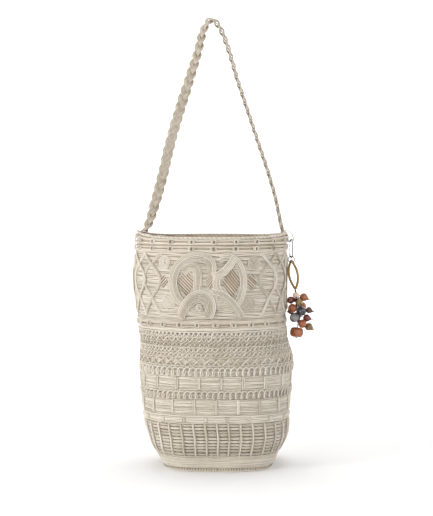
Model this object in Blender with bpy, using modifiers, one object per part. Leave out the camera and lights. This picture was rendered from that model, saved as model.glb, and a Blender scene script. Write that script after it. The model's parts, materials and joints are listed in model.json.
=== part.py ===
"""Straw bucket bag: worked straw bands, a braided shoulder strap and a bead charm on the rim.

Metres, +Z up. The bag stands on its base with the origin under the base's centre, its front towards -Y.
A turn is an angle round the bag in degrees: 0 is the front, 90 the right side, where the charm hangs.
"""
import math

import bmesh
import bpy
import numpy as np
from mathutils import Matrix, Vector

# Bag
BAG_WIDTH = 0.2204
BAG_DEPTH = 0.196
WALL = 0.0024
GAP = 0.0003

# Heights of the worked bands, from the floor up
BASE_EDGE_HEIGHT = 0.005
BASE_THICKNESS = 0.003
FOOT_HEIGHT = 0.0184
LADDER_HEIGHT = 0.0462
LOWER_BLOCK_HEIGHT = 0.035
LOWER_BRAID_HEIGHT = 0.0125
UPPER_BLOCK_HEIGHT = 0.0194
UPPER_BRAID_HEIGHT = 0.0142
NET_HEIGHT = 0.0495
LOWER_KNOT_HEIGHT = 0.0167
MEDALLION_HEIGHT = 0.0938
UPPER_KNOT_HEIGHT = 0.0178
RIM_DIAMETER = 0.0032

# Counts of what repeats round the bag
LADDER_STAKES = 36
BLOCK_BARS = 20
NET_HOLES = 18
NET_TIERS = 3
LOWER_KNOTS = 24
MEDALLION_WINDOWS = 12
UPPER_KNOTS = 20
PLAIN_COLUMNS = 36

# Relief of the bands, how far each stands out of the wall
STAKE_RISE = 0.0007
BAR_RISE = 0.0007
BRAID_RISE = 0.0009
BUNDLE_RISE = 0.0005
KNOT_RISE = 0.0009

# Holes of the pierced bands; widths are shares of the pitch, at a hole's middle and at its two ends
LADDER_SLOT_HEIGHT = 0.0026
NET_HOLE_HEIGHT = 0.0115
NET_HOLE_WIDTH = 0.74
NET_HOLE_ENDS = 0.4
WINDOW_HEIGHT = 0.030
WINDOW_WIDTH = 0.5
WINDOW_ENDS = 0.34
WINDOW_ABOVE_BAND = 0.035

# The rim is drawn up where the strap pulls on it
LEFT_LIFT = 0.009
RIGHT_LIFT = 0.006
LIFTED_HEIGHT = 0.0083

# Strap
STRAP_WIDTH = 0.015
STRAP_THICKNESS = 0.0052
STRAP_RISE = 0.3105
STRAP_TAIL = 0.034
STRAP_ROOM = 0.0011
FIRST_FACE = 4.0
STRAP_SIDES = 6
STRAP_SCALLOP = 0.0009
STRAP_SCALLOPS = 30

# Charm loop: cord through the wall and over the rim
CHARM_TURN = 83.5
LOOP_CORD = 0.002
LOOP_HOLE = 0.0044
LOOP_INSIDE_ROOM = 0.0018
LOOP_CLEARANCE = 0.0004
HANG_OUT = 0.006
HANG_BELOW_RIM = 0.0118

# Clip, ring, tan cord
CLIP_WIRE = 0.0016
CLIP_WIDTH = 0.009
CLIP_HEIGHT = 0.0275
CLIP_TURN = 60.0
GATE_WIRE = 0.0013
GATE_LENGTH = 0.0126
GATE_BARREL = 0.0026
GATE_BARREL_LENGTH = 0.0022
NOSE_DROP = 0.0052
RING_DIAMETER = 0.0102
RING_WIRE = 0.0012
CHARM_CORD = 0.0036
CHARM_CORD_WIDTH = 0.0165
CHARM_CORD_DROP = 0.0405
CORD_PASS = 0.0032
CORD_PASS_END = 0.3
CORD_TWIST = 0.001

# Bead strings
CORE_DIAMETER = 0.003
STRING_DIAMETER = 0.0012
KNOT_DIAMETER = 0.0024
KNOT_LENGTH = 0.0018
BEAD_SIDES = 10

STRAW = (0.80, 0.74, 0.64)
GUNMETAL = (0.12, 0.12, 0.13)
TAN_LEATHER = (0.42, 0.30, 0.15)
WAXED_STRING = (0.10, 0.05, 0.03)

# Heights as shares of the rim height; half width and half depth as shares of half BAG_WIDTH and BAG_DEPTH;
# lean, the sideways place of the middle, as a share of BAG_WIDTH; squareness, the outline's exponent
SECTIONS = (
    # height, width, depth, lean, squareness
    (0.000, 0.690, 0.800, 0.000, 3.2),
    (0.039, 0.763, 0.838, 0.000, 3.1),
    (0.073, 0.809, 0.867, -0.003, 3.0),
    (0.104, 0.865, 0.895, -0.002, 2.9),
    (0.139, 0.907, 0.918, 0.002, 2.8),
    (0.200, 0.943, 0.949, -0.009, 2.6),
    (0.295, 0.966, 0.980, -0.013, 2.4),
    (0.453, 1.000, 1.000, -0.010, 2.2),
    (0.497, 0.989, 0.990, -0.014, 2.1),
    (0.542, 0.957, 0.980, -0.025, 2.1),
    (0.605, 0.964, 0.980, -0.038, 2.1),
    (0.759, 0.990, 0.990, -0.051, 2.0),
    (0.846, 0.995, 1.000, -0.052, 2.0),
    (1.000, 0.994, 1.000, -0.040, 2.0),
)

# The strap's middle line above the rim: along, from its left seat to its right one; up, a share of
# STRAP_RISE; face, how far its broad side turns to the front, in degrees
STRAP_ROUTE = (
    # along, up, face
    (0.018, 0.010, 12), (0.061, 0.060, 45), (0.113, 0.173, 70), (0.159, 0.286, 80), (0.198, 0.399, 84),
    (0.244, 0.512, 84), (0.296, 0.624, 76), (0.349, 0.737, 62), (0.402, 0.850, 50), (0.444, 0.955, 38),
    (0.500, 1.000, 26), (0.563, 0.955, 20), (0.623, 0.850, 14), (0.672, 0.737, 10), (0.728, 0.624, 8),
    (0.784, 0.512, 8), (0.841, 0.399, 8), (0.897, 0.286, 6), (0.946, 0.173, 4), (0.981, 0.060, 2),
)

# Beads on their strings, from the top of the core: outward, along the rim, up, diameter, form, colour
BEADS = {
    "cream": (0.0014, -0.0076, -0.0072, 0.0100, "round", (0.62, 0.50, 0.38)),
    "chestnut": (0.0124, -0.0020, -0.0100, 0.0120, "pointed", (0.30, 0.09, 0.03)),
    "garnet": (-0.0066, -0.0015, -0.0144, 0.0110, "round", (0.10, 0.02, 0.02)),
    "olive": (0.0066, -0.0092, -0.0172, 0.0096, "round", (0.25, 0.18, 0.08)),
    "carnelian": (-0.0036, -0.0090, -0.0256, 0.0128, "round", (0.33, 0.09, 0.03)),
    "onyx": (0.0096, -0.0098, -0.0298, 0.0136, "round", (0.01, 0.01, 0.01)),
    "umber": (0.0200, -0.0032, -0.0286, 0.0096, "pointed", (0.06, 0.02, 0.01)),
    "wine": (-0.0066, 0.0034, -0.0306, 0.0096, "round", (0.09, 0.02, 0.02)),
    "slate": (-0.0010, -0.0102, -0.0392, 0.0134, "round", (0.24, 0.21, 0.19)),
    "russet": (0.0166, -0.0004, -0.0402, 0.0112, "pointed", (0.22, 0.04, 0.02)),
    "amber": (0.0108, -0.0090, -0.0478, 0.0126, "round", (0.35, 0.11, 0.03)),
    "khaki": (0.0198, -0.0010, -0.0528, 0.0116, "pointed", (0.20, 0.10, 0.04)),
    "pumpkin": (0.0022, -0.0012, -0.0608, 0.0196, "flattened", (0.34, 0.12, 0.03)),
    "walnut": (0.0004, 0.0080, -0.0130, 0.0114, "round", (0.14, 0.05, 0.02)),
    "copper": (0.0092, 0.0088, -0.0238, 0.0126, "round", (0.30, 0.10, 0.03)),
    "cocoa": (0.0010, 0.0092, -0.0392, 0.0132, "round", (0.12, 0.05, 0.03)),
}
CORE_FOOT = Vector((0.0040, 0.0, -0.0470))
CHARM_LEAN = 0.0059
STRING_CLEARANCE = 0.0003

# Bead outlines: height and radius as shares of half the diameter
BEAD_FORMS = {
    "round": ((0.94, 0.34), (0.62, 0.78), (0.0, 1.0), (-0.62, 0.78), (-0.94, 0.34)),
    "pointed": ((1.22, 0.26), (0.72, 0.64), (0.10, 1.0), (-0.55, 0.84), (-0.88, 0.46)),
    "flattened": ((0.74, 0.40), (0.62, 0.78), (0.0, 1.0), (-0.62, 0.78), (-0.74, 0.40)),
}

BAND_HEIGHTS = (
    ("base", BASE_EDGE_HEIGHT), ("foot_band", FOOT_HEIGHT), ("ladder_band", LADDER_HEIGHT),
    ("lower_block_band", LOWER_BLOCK_HEIGHT), ("lower_braid", LOWER_BRAID_HEIGHT),
    ("upper_block_band", UPPER_BLOCK_HEIGHT), ("upper_braid", UPPER_BRAID_HEIGHT), ("net_band", NET_HEIGHT),
    ("lower_knot_band", LOWER_KNOT_HEIGHT), ("medallion_band", MEDALLION_HEIGHT),
    ("upper_knot_band", UPPER_KNOT_HEIGHT), ("rim", RIM_DIAMETER),
)
RIM_HEIGHT = sum(height for name, height in BAND_HEIGHTS)


def band_span(name):
    """Lowest and highest height of a band, with the gap to the band above left open."""
    low = 0.0
    for other, height in BAND_HEIGHTS:
        if other == name:
            return low, low + height - GAP
        low += height


def wall_radius(turn, share):
    """Distance from the section's middle to the wall's outside, in the direction of a turn."""
    columns = np.array(SECTIONS)
    width, depth, squareness = (np.interp(share, columns[:, 0], columns[:, k]) for k in (1, 2, 4))
    angle = math.radians(turn)
    across = abs(math.sin(angle)) / (width * BAG_WIDTH / 2)
    deep = abs(math.cos(angle)) / (depth * BAG_DEPTH / 2)
    return (across ** squareness + deep ** squareness) ** (-1 / squareness)


def wall_point(turn, height, out=0.0):
    """Point of the wall's outside at a turn and a height, moved out level by the given distance."""
    share = height / RIM_HEIGHT
    columns = np.array(SECTIONS)
    lean = np.interp(share, columns[:, 0], columns[:, 3]) * BAG_WIDTH
    radius = wall_radius(turn, share) + out
    angle = math.radians(turn)
    lift = LEFT_LIFT if math.sin(angle) < 0 else RIGHT_LIFT
    lifted = min(max((height - RIM_HEIGHT + LIFTED_HEIGHT) / LIFTED_HEIGHT, 0.0), 1.0)
    rise = lift * lifted * abs(math.sin(angle)) ** 8
    return Vector((lean + radius * math.sin(angle), -radius * math.cos(angle), height + rise))


def plain_material(name, colour, roughness, metallic=0.0):
    material = bpy.data.materials.new(name)
    material.use_nodes = True
    shader = material.node_tree.nodes["Principled BSDF"]
    shader.inputs["Base Color"].default_value = (*colour, 1.0)
    shader.inputs["Roughness"].default_value = roughness
    shader.inputs["Metallic"].default_value = metallic
    return material


def add_object(name, data, material, parent=None):
    """Put a mesh or curve into the bag's collection, under a parent's frame if one is given."""
    obj = bpy.data.objects.new(name, data)
    data.materials.append(material)
    parts.objects.link(obj)
    obj.parent = parent
    return obj


def finish_mesh(name, bm, material, parent=None):
    """Turn worked faces outwards and make the object."""
    bmesh.ops.remove_doubles(bm, verts=bm.verts[:], dist=0.000001)
    bmesh.ops.recalc_face_normals(bm, faces=bm.faces[:])
    mesh = bpy.data.meshes.new(name)
    bm.to_mesh(mesh)
    bm.free()
    mesh.shade_smooth()
    mesh.set_sharp_from_angle(angle=math.radians(40))
    return add_object(name, mesh, material, parent)


def bent_grid(columns, rows):
    """Grid closed into a ring, each vertex marked with its column and row."""
    bm = bmesh.new()
    bmesh.ops.create_grid(bm, x_segments=columns, y_segments=rows, size=0.5)
    column, row = (bm.verts.layers.int.new(name) for name in ("column", "row"))
    for vert in bm.verts:
        vert[column] = round((vert.co.x + 0.5) * columns) % columns
        vert[row] = round((vert.co.y + 0.5) * rows)
        angle = 2 * math.pi * vert[column] / columns
        vert.co = (math.sin(angle), -math.cos(angle), vert[row])
    bmesh.ops.remove_doubles(bm, verts=bm.verts[:], dist=0.0001)
    return bm, column, row


def wall_band(name, columns, heights, turn_at, rise_at, open_at=None):
    """A ring of wall: a bent grid with its open cells left out, thickened level inwards."""
    bm, column, row = bent_grid(columns, len(heights) - 1)
    if open_at:
        gone = [face for face in bm.faces if open_at(*face_cell(face, column, row, columns))]
        bmesh.ops.delete(bm, geom=gone, context="FACES")
    outer = bm.faces[:]
    edges = [edge for edge in bm.edges if edge.is_boundary]
    inner = {}
    for vert in bm.verts[:]:
        c, r = vert[column], vert[row]
        turn = turn_at(c, r)
        inner[vert] = bm.verts.new(wall_point(turn, heights[r], -WALL))
        vert.co = wall_point(turn, heights[r], rise_at(c, r))
    for face in outer:
        bm.faces.new([inner[vert] for vert in reversed(face.verts)])
    for edge in edges:
        a, b = edge.verts
        bm.faces.new((a, b, inner[b], inner[a]))
    return finish_mesh(name, bm, straw)


def face_cell(face, column, row, columns):
    """Column and row of a cell, also of one that crosses the line where the ring closes."""
    found = {vert[column] for vert in face.verts}
    across = columns - 1 if found == {0, columns - 1} else min(found)
    return across, min(vert[row] for vert in face.verts)


def ring_of_profile(name, profile):
    """A solid ring: a closed profile of heights and distances out, carried round the bag."""
    sides = len(profile)
    bm, column, row = bent_grid(PLAIN_COLUMNS, sides)
    for vert in bm.verts:
        height, out = profile[vert[row] % sides]
        vert.co = wall_point(360.0 * vert[column] / PLAIN_COLUMNS, height, out)
    return finish_mesh(name, bm, straw)


def even_turn(columns):
    return lambda c, r: 360.0 * c / columns


def paired_turn(count, share):
    """Columns in pairs: a raised one that takes its share of the pitch, then a plain one."""
    pitch = 360.0 / count
    return lambda c, r: (c // 2 + (c % 2) * share) * pitch


def levels(name, *shares):
    """Heights of a band's rows: its lowest, the given shares of its height, and its highest."""
    low, high = band_span(name)
    return [low, *(low + share * (high - low) for share in shares), high]


def build_base():
    """The floor, a flat plate with a low edge that the foot band stands on."""
    low, high = band_span("base")
    profile = (
        (low, None), (low, 0.0), (high, 0.0),
        (high, -WALL), (BASE_THICKNESS, -WALL), (BASE_THICKNESS, None),
    )
    bm, column, row = bent_grid(PLAIN_COLUMNS, len(profile) - 1)
    for vert in bm.verts:
        height, out = profile[vert[row]]
        turn = 360.0 * vert[column] / PLAIN_COLUMNS
        vert.co = (0.0, 0.0, height) if out is None else wall_point(turn, height, out)
    return finish_mesh("base", bm, straw)


def build_plain_bands():
    """The foot and the two braids: smooth bands, the braids rounded outwards."""
    flat = even_turn(PLAIN_COLUMNS)
    wall_band("foot_band", PLAIN_COLUMNS, levels("foot_band", 0.5), flat, lambda c, r: 0.0)
    for name in ("lower_braid", "upper_braid"):
        wall_band(name, PLAIN_COLUMNS, levels(name, 0.5), flat, lambda c, r: BRAID_RISE * (r == 1))


def build_ladder():
    """Raised stakes with one slot between each two."""
    low, high = band_span("ladder_band")
    middle = (low + high) / 2
    heights = [low, middle - LADDER_SLOT_HEIGHT / 2, middle + LADDER_SLOT_HEIGHT / 2, high]
    wall_band(
        "ladder_band", 2 * LADDER_STAKES, heights, paired_turn(LADDER_STAKES, 0.24),
        lambda c, r: STAKE_RISE * (c % 2 == 0), lambda c, r: c % 2 == 1 and r == 1,
    )


def build_block_bands():
    """Block weave with raised double bars."""
    columns = 2 * BLOCK_BARS
    turn_at = paired_turn(BLOCK_BARS, 0.2)
    raised = lambda c, r: BAR_RISE * (c % 2 == 0)
    wall_band("lower_block_band", columns, levels("lower_block_band"), turn_at, raised)
    wall_band("upper_block_band", columns, levels("upper_block_band"), turn_at, raised)


def build_knot_bands():
    """Two cord bundles with a groove between them, tied together by knots."""
    for name, count in (("lower_knot_band", LOWER_KNOTS), ("upper_knot_band", UPPER_KNOTS)):
        rises = (0.0, BUNDLE_RISE, 0.0, 0.0)
        wall_band(
            name, 2 * count, levels(name, 0.42, 0.58), paired_turn(count, 0.16),
            lambda c, r: KNOT_RISE if c % 2 == 0 else rises[r],
        )


def build_net():
    """Tiers of six-sided holes, each tier half a pitch on from the one below."""
    low, high = band_span("net_band")
    bar = (high - low - NET_TIERS * NET_HOLE_HEIGHT) / (NET_TIERS + 1)
    heights = [low]
    for tier in range(NET_TIERS):
        foot = low + bar + tier * (NET_HOLE_HEIGHT + bar)
        heights += [foot, foot + NET_HOLE_HEIGHT / 2, foot + NET_HOLE_HEIGHT]
    heights.append(high)
    pitch = 360.0 / NET_HOLES

    def turn_at(c, r):
        tier = min(max(r - 1, 0) // 3, NET_TIERS - 1)
        middle = 1 <= r <= 3 * NET_TIERS and (r - 1) % 3 == 1
        half = (NET_HOLE_WIDTH if middle else NET_HOLE_ENDS) / 2
        return (c // 2 + 0.5 + (half if c % 2 else -half) + 0.5 * (tier % 2)) * pitch

    wall_band(
        "net_band", 2 * NET_HOLES, heights, turn_at, lambda c, r: 0.0,
        lambda c, r: c % 2 == 0 and r % 3 != 0,
    )


def build_medallions():
    """The scrollwork's wall with its see-through windows."""
    low, high = band_span("medallion_band")
    foot = low + WINDOW_ABOVE_BAND
    heights = [low, foot, foot + WINDOW_HEIGHT / 2, foot + WINDOW_HEIGHT, high]
    pitch = 360.0 / MEDALLION_WINDOWS

    def turn_at(c, r):
        width = WINDOW_WIDTH if r == 2 else WINDOW_ENDS
        shares = ((1 - width) / 2, (1 + width) / 2, 1.0)
        return (c // 3 + shares[c % 3]) * pitch

    wall_band(
        "medallion_band", 3 * MEDALLION_WINDOWS, heights, turn_at, lambda c, r: 0.0,
        lambda c, r: c % 3 == 0 and r in (1, 2),
    )


def build_rim():
    """Rolled lip: a six-sided ring over the wall's middle."""
    low, high = band_span("rim")
    middle, radius = (low + high) / 2, (high - low) / 2
    angles = [math.radians(60 * k) for k in range(6)]
    ring_of_profile("rim", [
        (middle + radius * math.cos(angle), -WALL / 2 + radius * math.sin(angle)) for angle in angles
    ])


def strap_seat(side, height):
    """Where the strap's middle line lies against the inside of the wall; side is -1 left, 1 right."""
    return wall_point(90.0 * side, height, -WALL - STRAP_ROOM - STRAP_THICKNESS / 2)


def strap_line():
    """The strap's middle line and the turn of its broad side, from the left tail to the right one."""
    top = RIM_HEIGHT - RIM_DIAMETER
    middle, end = top - STRAP_TAIL / 2, top - STRAP_TAIL
    left, right = strap_seat(-1, top), strap_seat(1, top)
    points = [(strap_seat(-1, end), 0.0), (strap_seat(-1, middle), 0.0), (left, FIRST_FACE)]
    for along, up, face in STRAP_ROUTE:
        x = left.x + along * (right.x - left.x)
        points.append((Vector((x, 0.0, RIM_HEIGHT + up * STRAP_RISE)), face))
    points += [(right, 0.0), (strap_seat(1, middle), 0.0), (strap_seat(1, end), 0.0)]
    return points


def smooth_line(points, count):
    """Even steps along a curve through the given points, as Catmull-Rom spans between them."""
    values = np.array([[*place, face] for place, face in points])
    ends = np.vstack((2 * values[0] - values[1], values, 2 * values[-1] - values[-2]))
    fine = []
    for k in range(len(values) - 1):
        a, b, c, d = ends[k:k + 4]
        for t in np.linspace(0, 1, 12, endpoint=False):
            fine.append(0.5 * (2 * b + (c - a) * t + (2 * a - 5 * b + 4 * c - d) * t ** 2
                               + (3 * b - a - 3 * c + d) * t ** 3))
    fine = np.array(fine + [values[-1]])
    steps = np.linalg.norm(np.diff(fine[:, :3], axis=0), axis=1)
    travelled = np.concatenate(([0.0], np.cumsum(steps)))
    wanted = np.linspace(0, travelled[-1], count)
    return np.column_stack([np.interp(wanted, travelled, fine[:, k]) for k in range(4)])


def build_strap():
    """A flat six-sided section carried along the strap's line, wide and narrow in turn."""
    line = smooth_line(strap_line(), 2 * STRAP_SCALLOPS + 1)
    thick = STRAP_THICKNESS / 2 / math.sin(2 * math.pi / STRAP_SIDES)
    bm = bmesh.new()
    rings = []
    for k, (x, y, z, face) in enumerate(line):
        before, after = line[max(k - 1, 0)], line[min(k + 1, len(line) - 1)]
        along = Vector(after[:3] - before[:3]).normalized()
        depth = Vector((0.0, 1.0, 0.0))
        level = along.cross(depth)
        turned = math.radians(face)
        broad = depth * math.cos(turned) + level * math.sin(turned)
        thin = along.cross(broad)
        reach = STRAP_WIDTH / 2 + (STRAP_SCALLOP if k % 2 else -STRAP_SCALLOP)
        ring = []
        for side in range(STRAP_SIDES):
            angle = 2 * math.pi * side / STRAP_SIDES
            across = broad * reach * math.cos(angle)
            ring.append(bm.verts.new(Vector((x, y, z)) + across + thin * thick * math.sin(angle)))
        rings.append(ring)
    for lower, upper in zip(rings, rings[1:]):
        for side in range(STRAP_SIDES):
            after = (side + 1) % STRAP_SIDES
            bm.faces.new((lower[side], lower[after], upper[after], upper[side]))
    bm.faces.new(rings[0])
    bm.faces.new(rings[-1])
    return finish_mesh("strap", bm, straw)


def wire(name, points, diameter, material, parent, cyclic=False, corners=1):
    """A cord or wire: a poly curve with a round section."""
    curve = bpy.data.curves.new(name, "CURVE")
    curve.dimensions = "3D"
    curve.bevel_depth = diameter / 2
    curve.bevel_resolution = corners
    curve.use_fill_caps = not cyclic
    spline = curve.splines.new("POLY")
    spline.points.add(len(points) - 1)
    for point, place in zip(spline.points, points):
        point.co = (*place, 1.0)
    spline.use_cyclic_u = cyclic
    return add_object(name, curve, material, parent)


def frame_empty(name, place, turn, parent=None):
    """An empty on a joint's axis, its X axis turned about Z from the parent's."""
    empty = bpy.data.objects.new(name, None)
    empty.empty_display_size = 0.01
    parts.objects.link(empty)
    empty.location = place
    empty.rotation_euler = (0.0, 0.0, math.radians(turn))
    empty.parent = parent
    return empty


def arc(centre, radius, start, stop, count):
    """Points of an arc in the X Z plane, angles in degrees from X towards Z."""
    angles = np.radians(np.linspace(start, stop, count))
    x, z = centre
    return [Vector((x + radius * math.cos(a), 0.0, z + radius * math.sin(a))) for a in angles]


def build_charm_loop(parent):
    """Cord loop seen from the clip's top: through the wall's hole, up outside and over the rim."""
    half = LOOP_CORD / 2
    inside = -(HANG_OUT + WALL / 2 + RIM_DIAMETER / 2 + LOOP_INSIDE_ROOM + half)
    outside = CLIP_WIRE / 2 + LOOP_CLEARANCE + half + 0.0008
    low = -(CLIP_WIRE / 2 + LOOP_CLEARANCE + half)
    rim_top = HANG_BELOW_RIM + 2 * GAP + half
    over = -HANG_OUT - WALL / 2
    route = (
        (inside, 0.3 * rim_top), (inside + 0.0004, 0.3 * low), (inside + 0.0022, low), (over + 0.003, low),
        (0.0, low), (outside - 0.0008, 0.75 * low), (outside, 0.1 * low), (outside - 0.0004, 0.3 * rim_top),
        (outside - 0.0032, 0.7 * rim_top), (over + 0.0022, 0.98 * rim_top), (over, rim_top + 0.0003),
        (over - 0.002, 0.9 * rim_top), (inside, 0.68 * rim_top),
    )
    return wire("charm_loop", [(x, 0.0, z) for x, z in route], LOOP_CORD, straw, parent, cyclic=True)


def pierce_for_loop(parent):
    """Hole through the upper knot band where the charm loop passes."""
    depth = 2 * (WALL + 2 * KNOT_RISE)
    bm = bmesh.new()
    bmesh.ops.create_cone(
        bm, cap_ends=True, segments=8, radius1=LOOP_HOLE / 2, radius2=LOOP_HOLE / 2, depth=depth,
        matrix=Matrix.Rotation(math.pi / 2, 4, "Y"))
    mesh = bpy.data.meshes.new("loop_hole_cutter")
    bm.to_mesh(mesh)
    bm.free()
    cutter = bpy.data.objects.new("loop_hole_cutter", mesh)
    cutters.objects.link(cutter)
    cutter.parent = parent
    low = CLIP_WIRE / 2 + LOOP_CLEARANCE + LOOP_CORD / 2
    cutter.location = (-HANG_OUT - WALL / 2, 0.0, -low)
    cutter.hide_render = True
    cutter.display_type = "WIRE"
    cut = bpy.data.objects["upper_knot_band"].modifiers.new("loop hole", "BOOLEAN")
    cut.operation = "DIFFERENCE"
    cut.object = cutter


def clip_shape():
    """Middle line of the clip's frame in its own plane, and the gate's hinge and nose."""
    half = (CLIP_WIDTH - CLIP_WIRE) / 2
    height = CLIP_HEIGHT - CLIP_WIRE
    hinge_height = -(NOSE_DROP + GATE_LENGTH)
    top = arc((0.0, -half), half, 180, 0, 9)
    foot = arc((0.0, half - height), half, 0, -180, 9)
    nose = Vector((-half, 0.0, -NOSE_DROP + CLIP_WIRE / 2))
    heel = Vector((-half, 0.0, hinge_height - GATE_BARREL / 2 - GAP))
    return [nose] + top + foot + [heel], Vector((-half, 0.0, hinge_height)), height


def build_clip(charm_pivot):
    """Spring hook: an open oval of wire and a straight gate hung in its opening."""
    frame_line, hinge, height = clip_shape()
    plane = frame_empty("clip_plane", (0.0, 0.0, 0.0), CLIP_TURN, charm_pivot)
    wire("clip_frame", frame_line, CLIP_WIRE, gunmetal, plane)
    gate_pivot = frame_empty("gate_pivot", hinge, 0.0, plane)
    build_gate(gate_pivot)
    return height


def build_gate(pivot):
    """The gate: a bar joined to its barrel, which lies on the gate's axis."""
    bm = bmesh.new()
    bmesh.ops.create_cone(
        bm, cap_ends=True, segments=10, radius1=GATE_BARREL / 2, radius2=GATE_BARREL / 2,
        depth=GATE_BARREL_LENGTH, matrix=Matrix.Rotation(math.pi / 2, 4, "X"))
    barrel = finish_mesh("clip_gate", bm, gunmetal, pivot)
    bar_length = GATE_LENGTH - GAP
    bm = bmesh.new()
    bmesh.ops.create_cone(
        bm, cap_ends=True, segments=8, radius1=GATE_WIRE / 2, radius2=GATE_WIRE / 2, depth=bar_length,
        matrix=Matrix.Translation((0.0, 0.0, bar_length / 2)))
    mesh = bpy.data.meshes.new("gate_bar")
    bm.to_mesh(mesh)
    bm.free()
    bar = bpy.data.objects.new("gate_bar", mesh)
    cutters.objects.link(bar)
    bar.parent = pivot
    bar.hide_render = True
    bar.display_type = "WIRE"
    union = barrel.modifiers.new("bar", "BOOLEAN")
    union.operation = "UNION"
    union.object = bar


def build_ring(drop_pivot):
    """Split ring hung by the top of its wire."""
    radius = (RING_DIAMETER - RING_WIRE) / 2
    bpy.ops.mesh.primitive_torus_add(
        major_segments=16, minor_segments=6, major_radius=radius, minor_radius=RING_WIRE / 2,
        location=(0.0, 0.0, -radius), rotation=(math.pi / 2, 0.0, 0.0))
    ring = bpy.context.object
    ring.name = "clip_ring"
    for collection in ring.users_collection:
        collection.objects.unlink(ring)
    parts.objects.link(ring)
    ring.parent = drop_pivot
    ring.data.materials.append(gunmetal)
    return 2 * radius


def build_charm_cord(drop_pivot, ring_drop):
    """Tan cord folded over the ring's foot, its two legs spread and met again at the bead knot."""
    top = -ring_drop + RING_WIRE / 2 + CHARM_CORD / 2 + GAP
    half = (CHARM_CORD_WIDTH - CHARM_CORD) / 2
    lean = CHARM_LEAN / CHARM_CORD_DROP
    line = []
    count = 26
    for k in range(count):
        angle = 2 * math.pi * k / count
        down = (1 - math.cos(angle)) / 2
        side = round(math.sin(angle), 6)
        spread = half * side * (0.35 + 0.65 * math.sin(math.pi * down) ** 0.6)
        fall = down * CHARM_CORD_DROP
        away = ((side > 0) - (side < 0)) * CORD_PASS * max(0.0, 1 - down / CORD_PASS_END)
        line.append((spread + lean * fall, -away - CORD_TWIST * side, top - fall))
    return wire("charm_cord", line, CHARM_CORD, tan_leather, drop_pivot, cyclic=True, corners=2)


def string_root(rank, count):
    """Point of the core where a bead's string leaves it, the beads in order from the top down."""
    return CORE_FOOT * ((rank + 0.7) / (count + 0.2))


def build_strings(core_top, drop_pivot):
    """A short core below the tan cord with one knotted string through each bead, joined into one body."""
    order = sorted(BEADS, key=lambda name: -BEADS[name][2])
    curve = bpy.data.curves.new("strings", "CURVE")
    curve.dimensions = "3D"
    curve.bevel_depth = STRING_DIAMETER / 2
    curve.bevel_resolution = 0
    curve.use_fill_caps = True
    roots = {}
    for rank, name in enumerate(order):
        place = Vector(BEADS[name][:3])
        root = string_root(rank, len(order))
        roots[name] = root
        along = (place - root).normalized()
        tip = place + along * bead_half_length(name)
        swell = KNOT_DIAMETER / STRING_DIAMETER
        stops = (
            (root, 1.0), (tip + along * GAP, 1.0), (tip + along * (GAP + KNOT_LENGTH / 3), swell),
            (tip + along * (GAP + 2 * KNOT_LENGTH / 3), swell), (tip + along * (GAP + KNOT_LENGTH), 0.6),
        )
        spline = curve.splines.new("POLY")
        spline.points.add(len(stops) - 1)
        for point, (spot, scale) in zip(spline.points, stops):
            point.co = (*(core_top + spot), 1.0)
            point.radius = scale
    strings = as_cutter_mesh("bead_string_tubes", curve, drop_pivot)
    bm = bmesh.new()
    direction = CORE_FOOT.normalized()
    turn = Vector((0.0, 0.0, 1.0)).rotation_difference(direction).to_matrix().to_4x4()
    bmesh.ops.create_cone(
        bm, cap_ends=True, segments=8, radius1=CORE_DIAMETER / 2, radius2=CORE_DIAMETER / 2,
        depth=CORE_FOOT.length, matrix=Matrix.Translation(core_top + CORE_FOOT / 2) @ turn)
    core = finish_mesh("bead_strings", bm, waxed_string, drop_pivot)
    union = core.modifiers.new("strings", "BOOLEAN")
    union.operation = "UNION"
    union.object = strings
    return roots


def as_cutter_mesh(name, curve, parent):
    """Mesh of a curve with its caps welded, kept with the cutters."""
    source = bpy.data.objects.new(name + "_curve", curve)
    cutters.objects.link(source)
    bpy.context.view_layer.update()
    mesh = bpy.data.meshes.new_from_object(source.evaluated_get(bpy.context.evaluated_depsgraph_get()))
    bpy.data.objects.remove(source)
    bm = bmesh.new()
    bm.from_mesh(mesh)
    bmesh.ops.remove_doubles(bm, verts=bm.verts[:], dist=0.000001)
    bm.to_mesh(mesh)
    bm.free()
    tool = bpy.data.objects.new(name, mesh)
    cutters.objects.link(tool)
    tool.parent = parent
    tool.hide_render = True
    tool.display_type = "WIRE"
    return tool


def bead_half_length(name):
    """Distance from a bead's middle to the end that its knot lies on."""
    diameter, form = BEADS[name][3:5]
    return BEAD_FORMS[form][0][0] * diameter / 2


def build_beads(core_top, roots, drop_pivot):
    """Each bead a turned form with a bore for its string, its axis along the string."""
    bore = STRING_DIAMETER / 2 + STRING_CLEARANCE
    for name, (x, y, z, diameter, form, colour) in BEADS.items():
        outline = [(bore, BEAD_FORMS[form][0][0])]
        outline += [(max(radius * diameter / 2, bore + GAP), height) for height, radius in BEAD_FORMS[form]]
        outline += [(bore, BEAD_FORMS[form][-1][0])]
        mesh = bpy.data.meshes.new(name)
        points = [(radius, 0.0, height * diameter / 2) for radius, height in outline]
        mesh.from_pydata(points, [(k, (k + 1) % len(points)) for k in range(len(points))], [])
        bead = add_object(name, mesh, plain_material(name, colour, 0.25), drop_pivot)
        screw = bead.modifiers.new("turning", "SCREW")
        screw.steps = screw.render_steps = BEAD_SIDES
        screw.use_merge_vertices = True
        screw.merge_threshold = 0.000001
        screw.use_smooth_shade = True
        place = Vector((x, y, z))
        bead.location = core_top + place
        bead.rotation_mode = "QUATERNION"
        bead.rotation_quaternion = Vector((0.0, 0.0, 1.0)).rotation_difference(place - roots[name])


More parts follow.
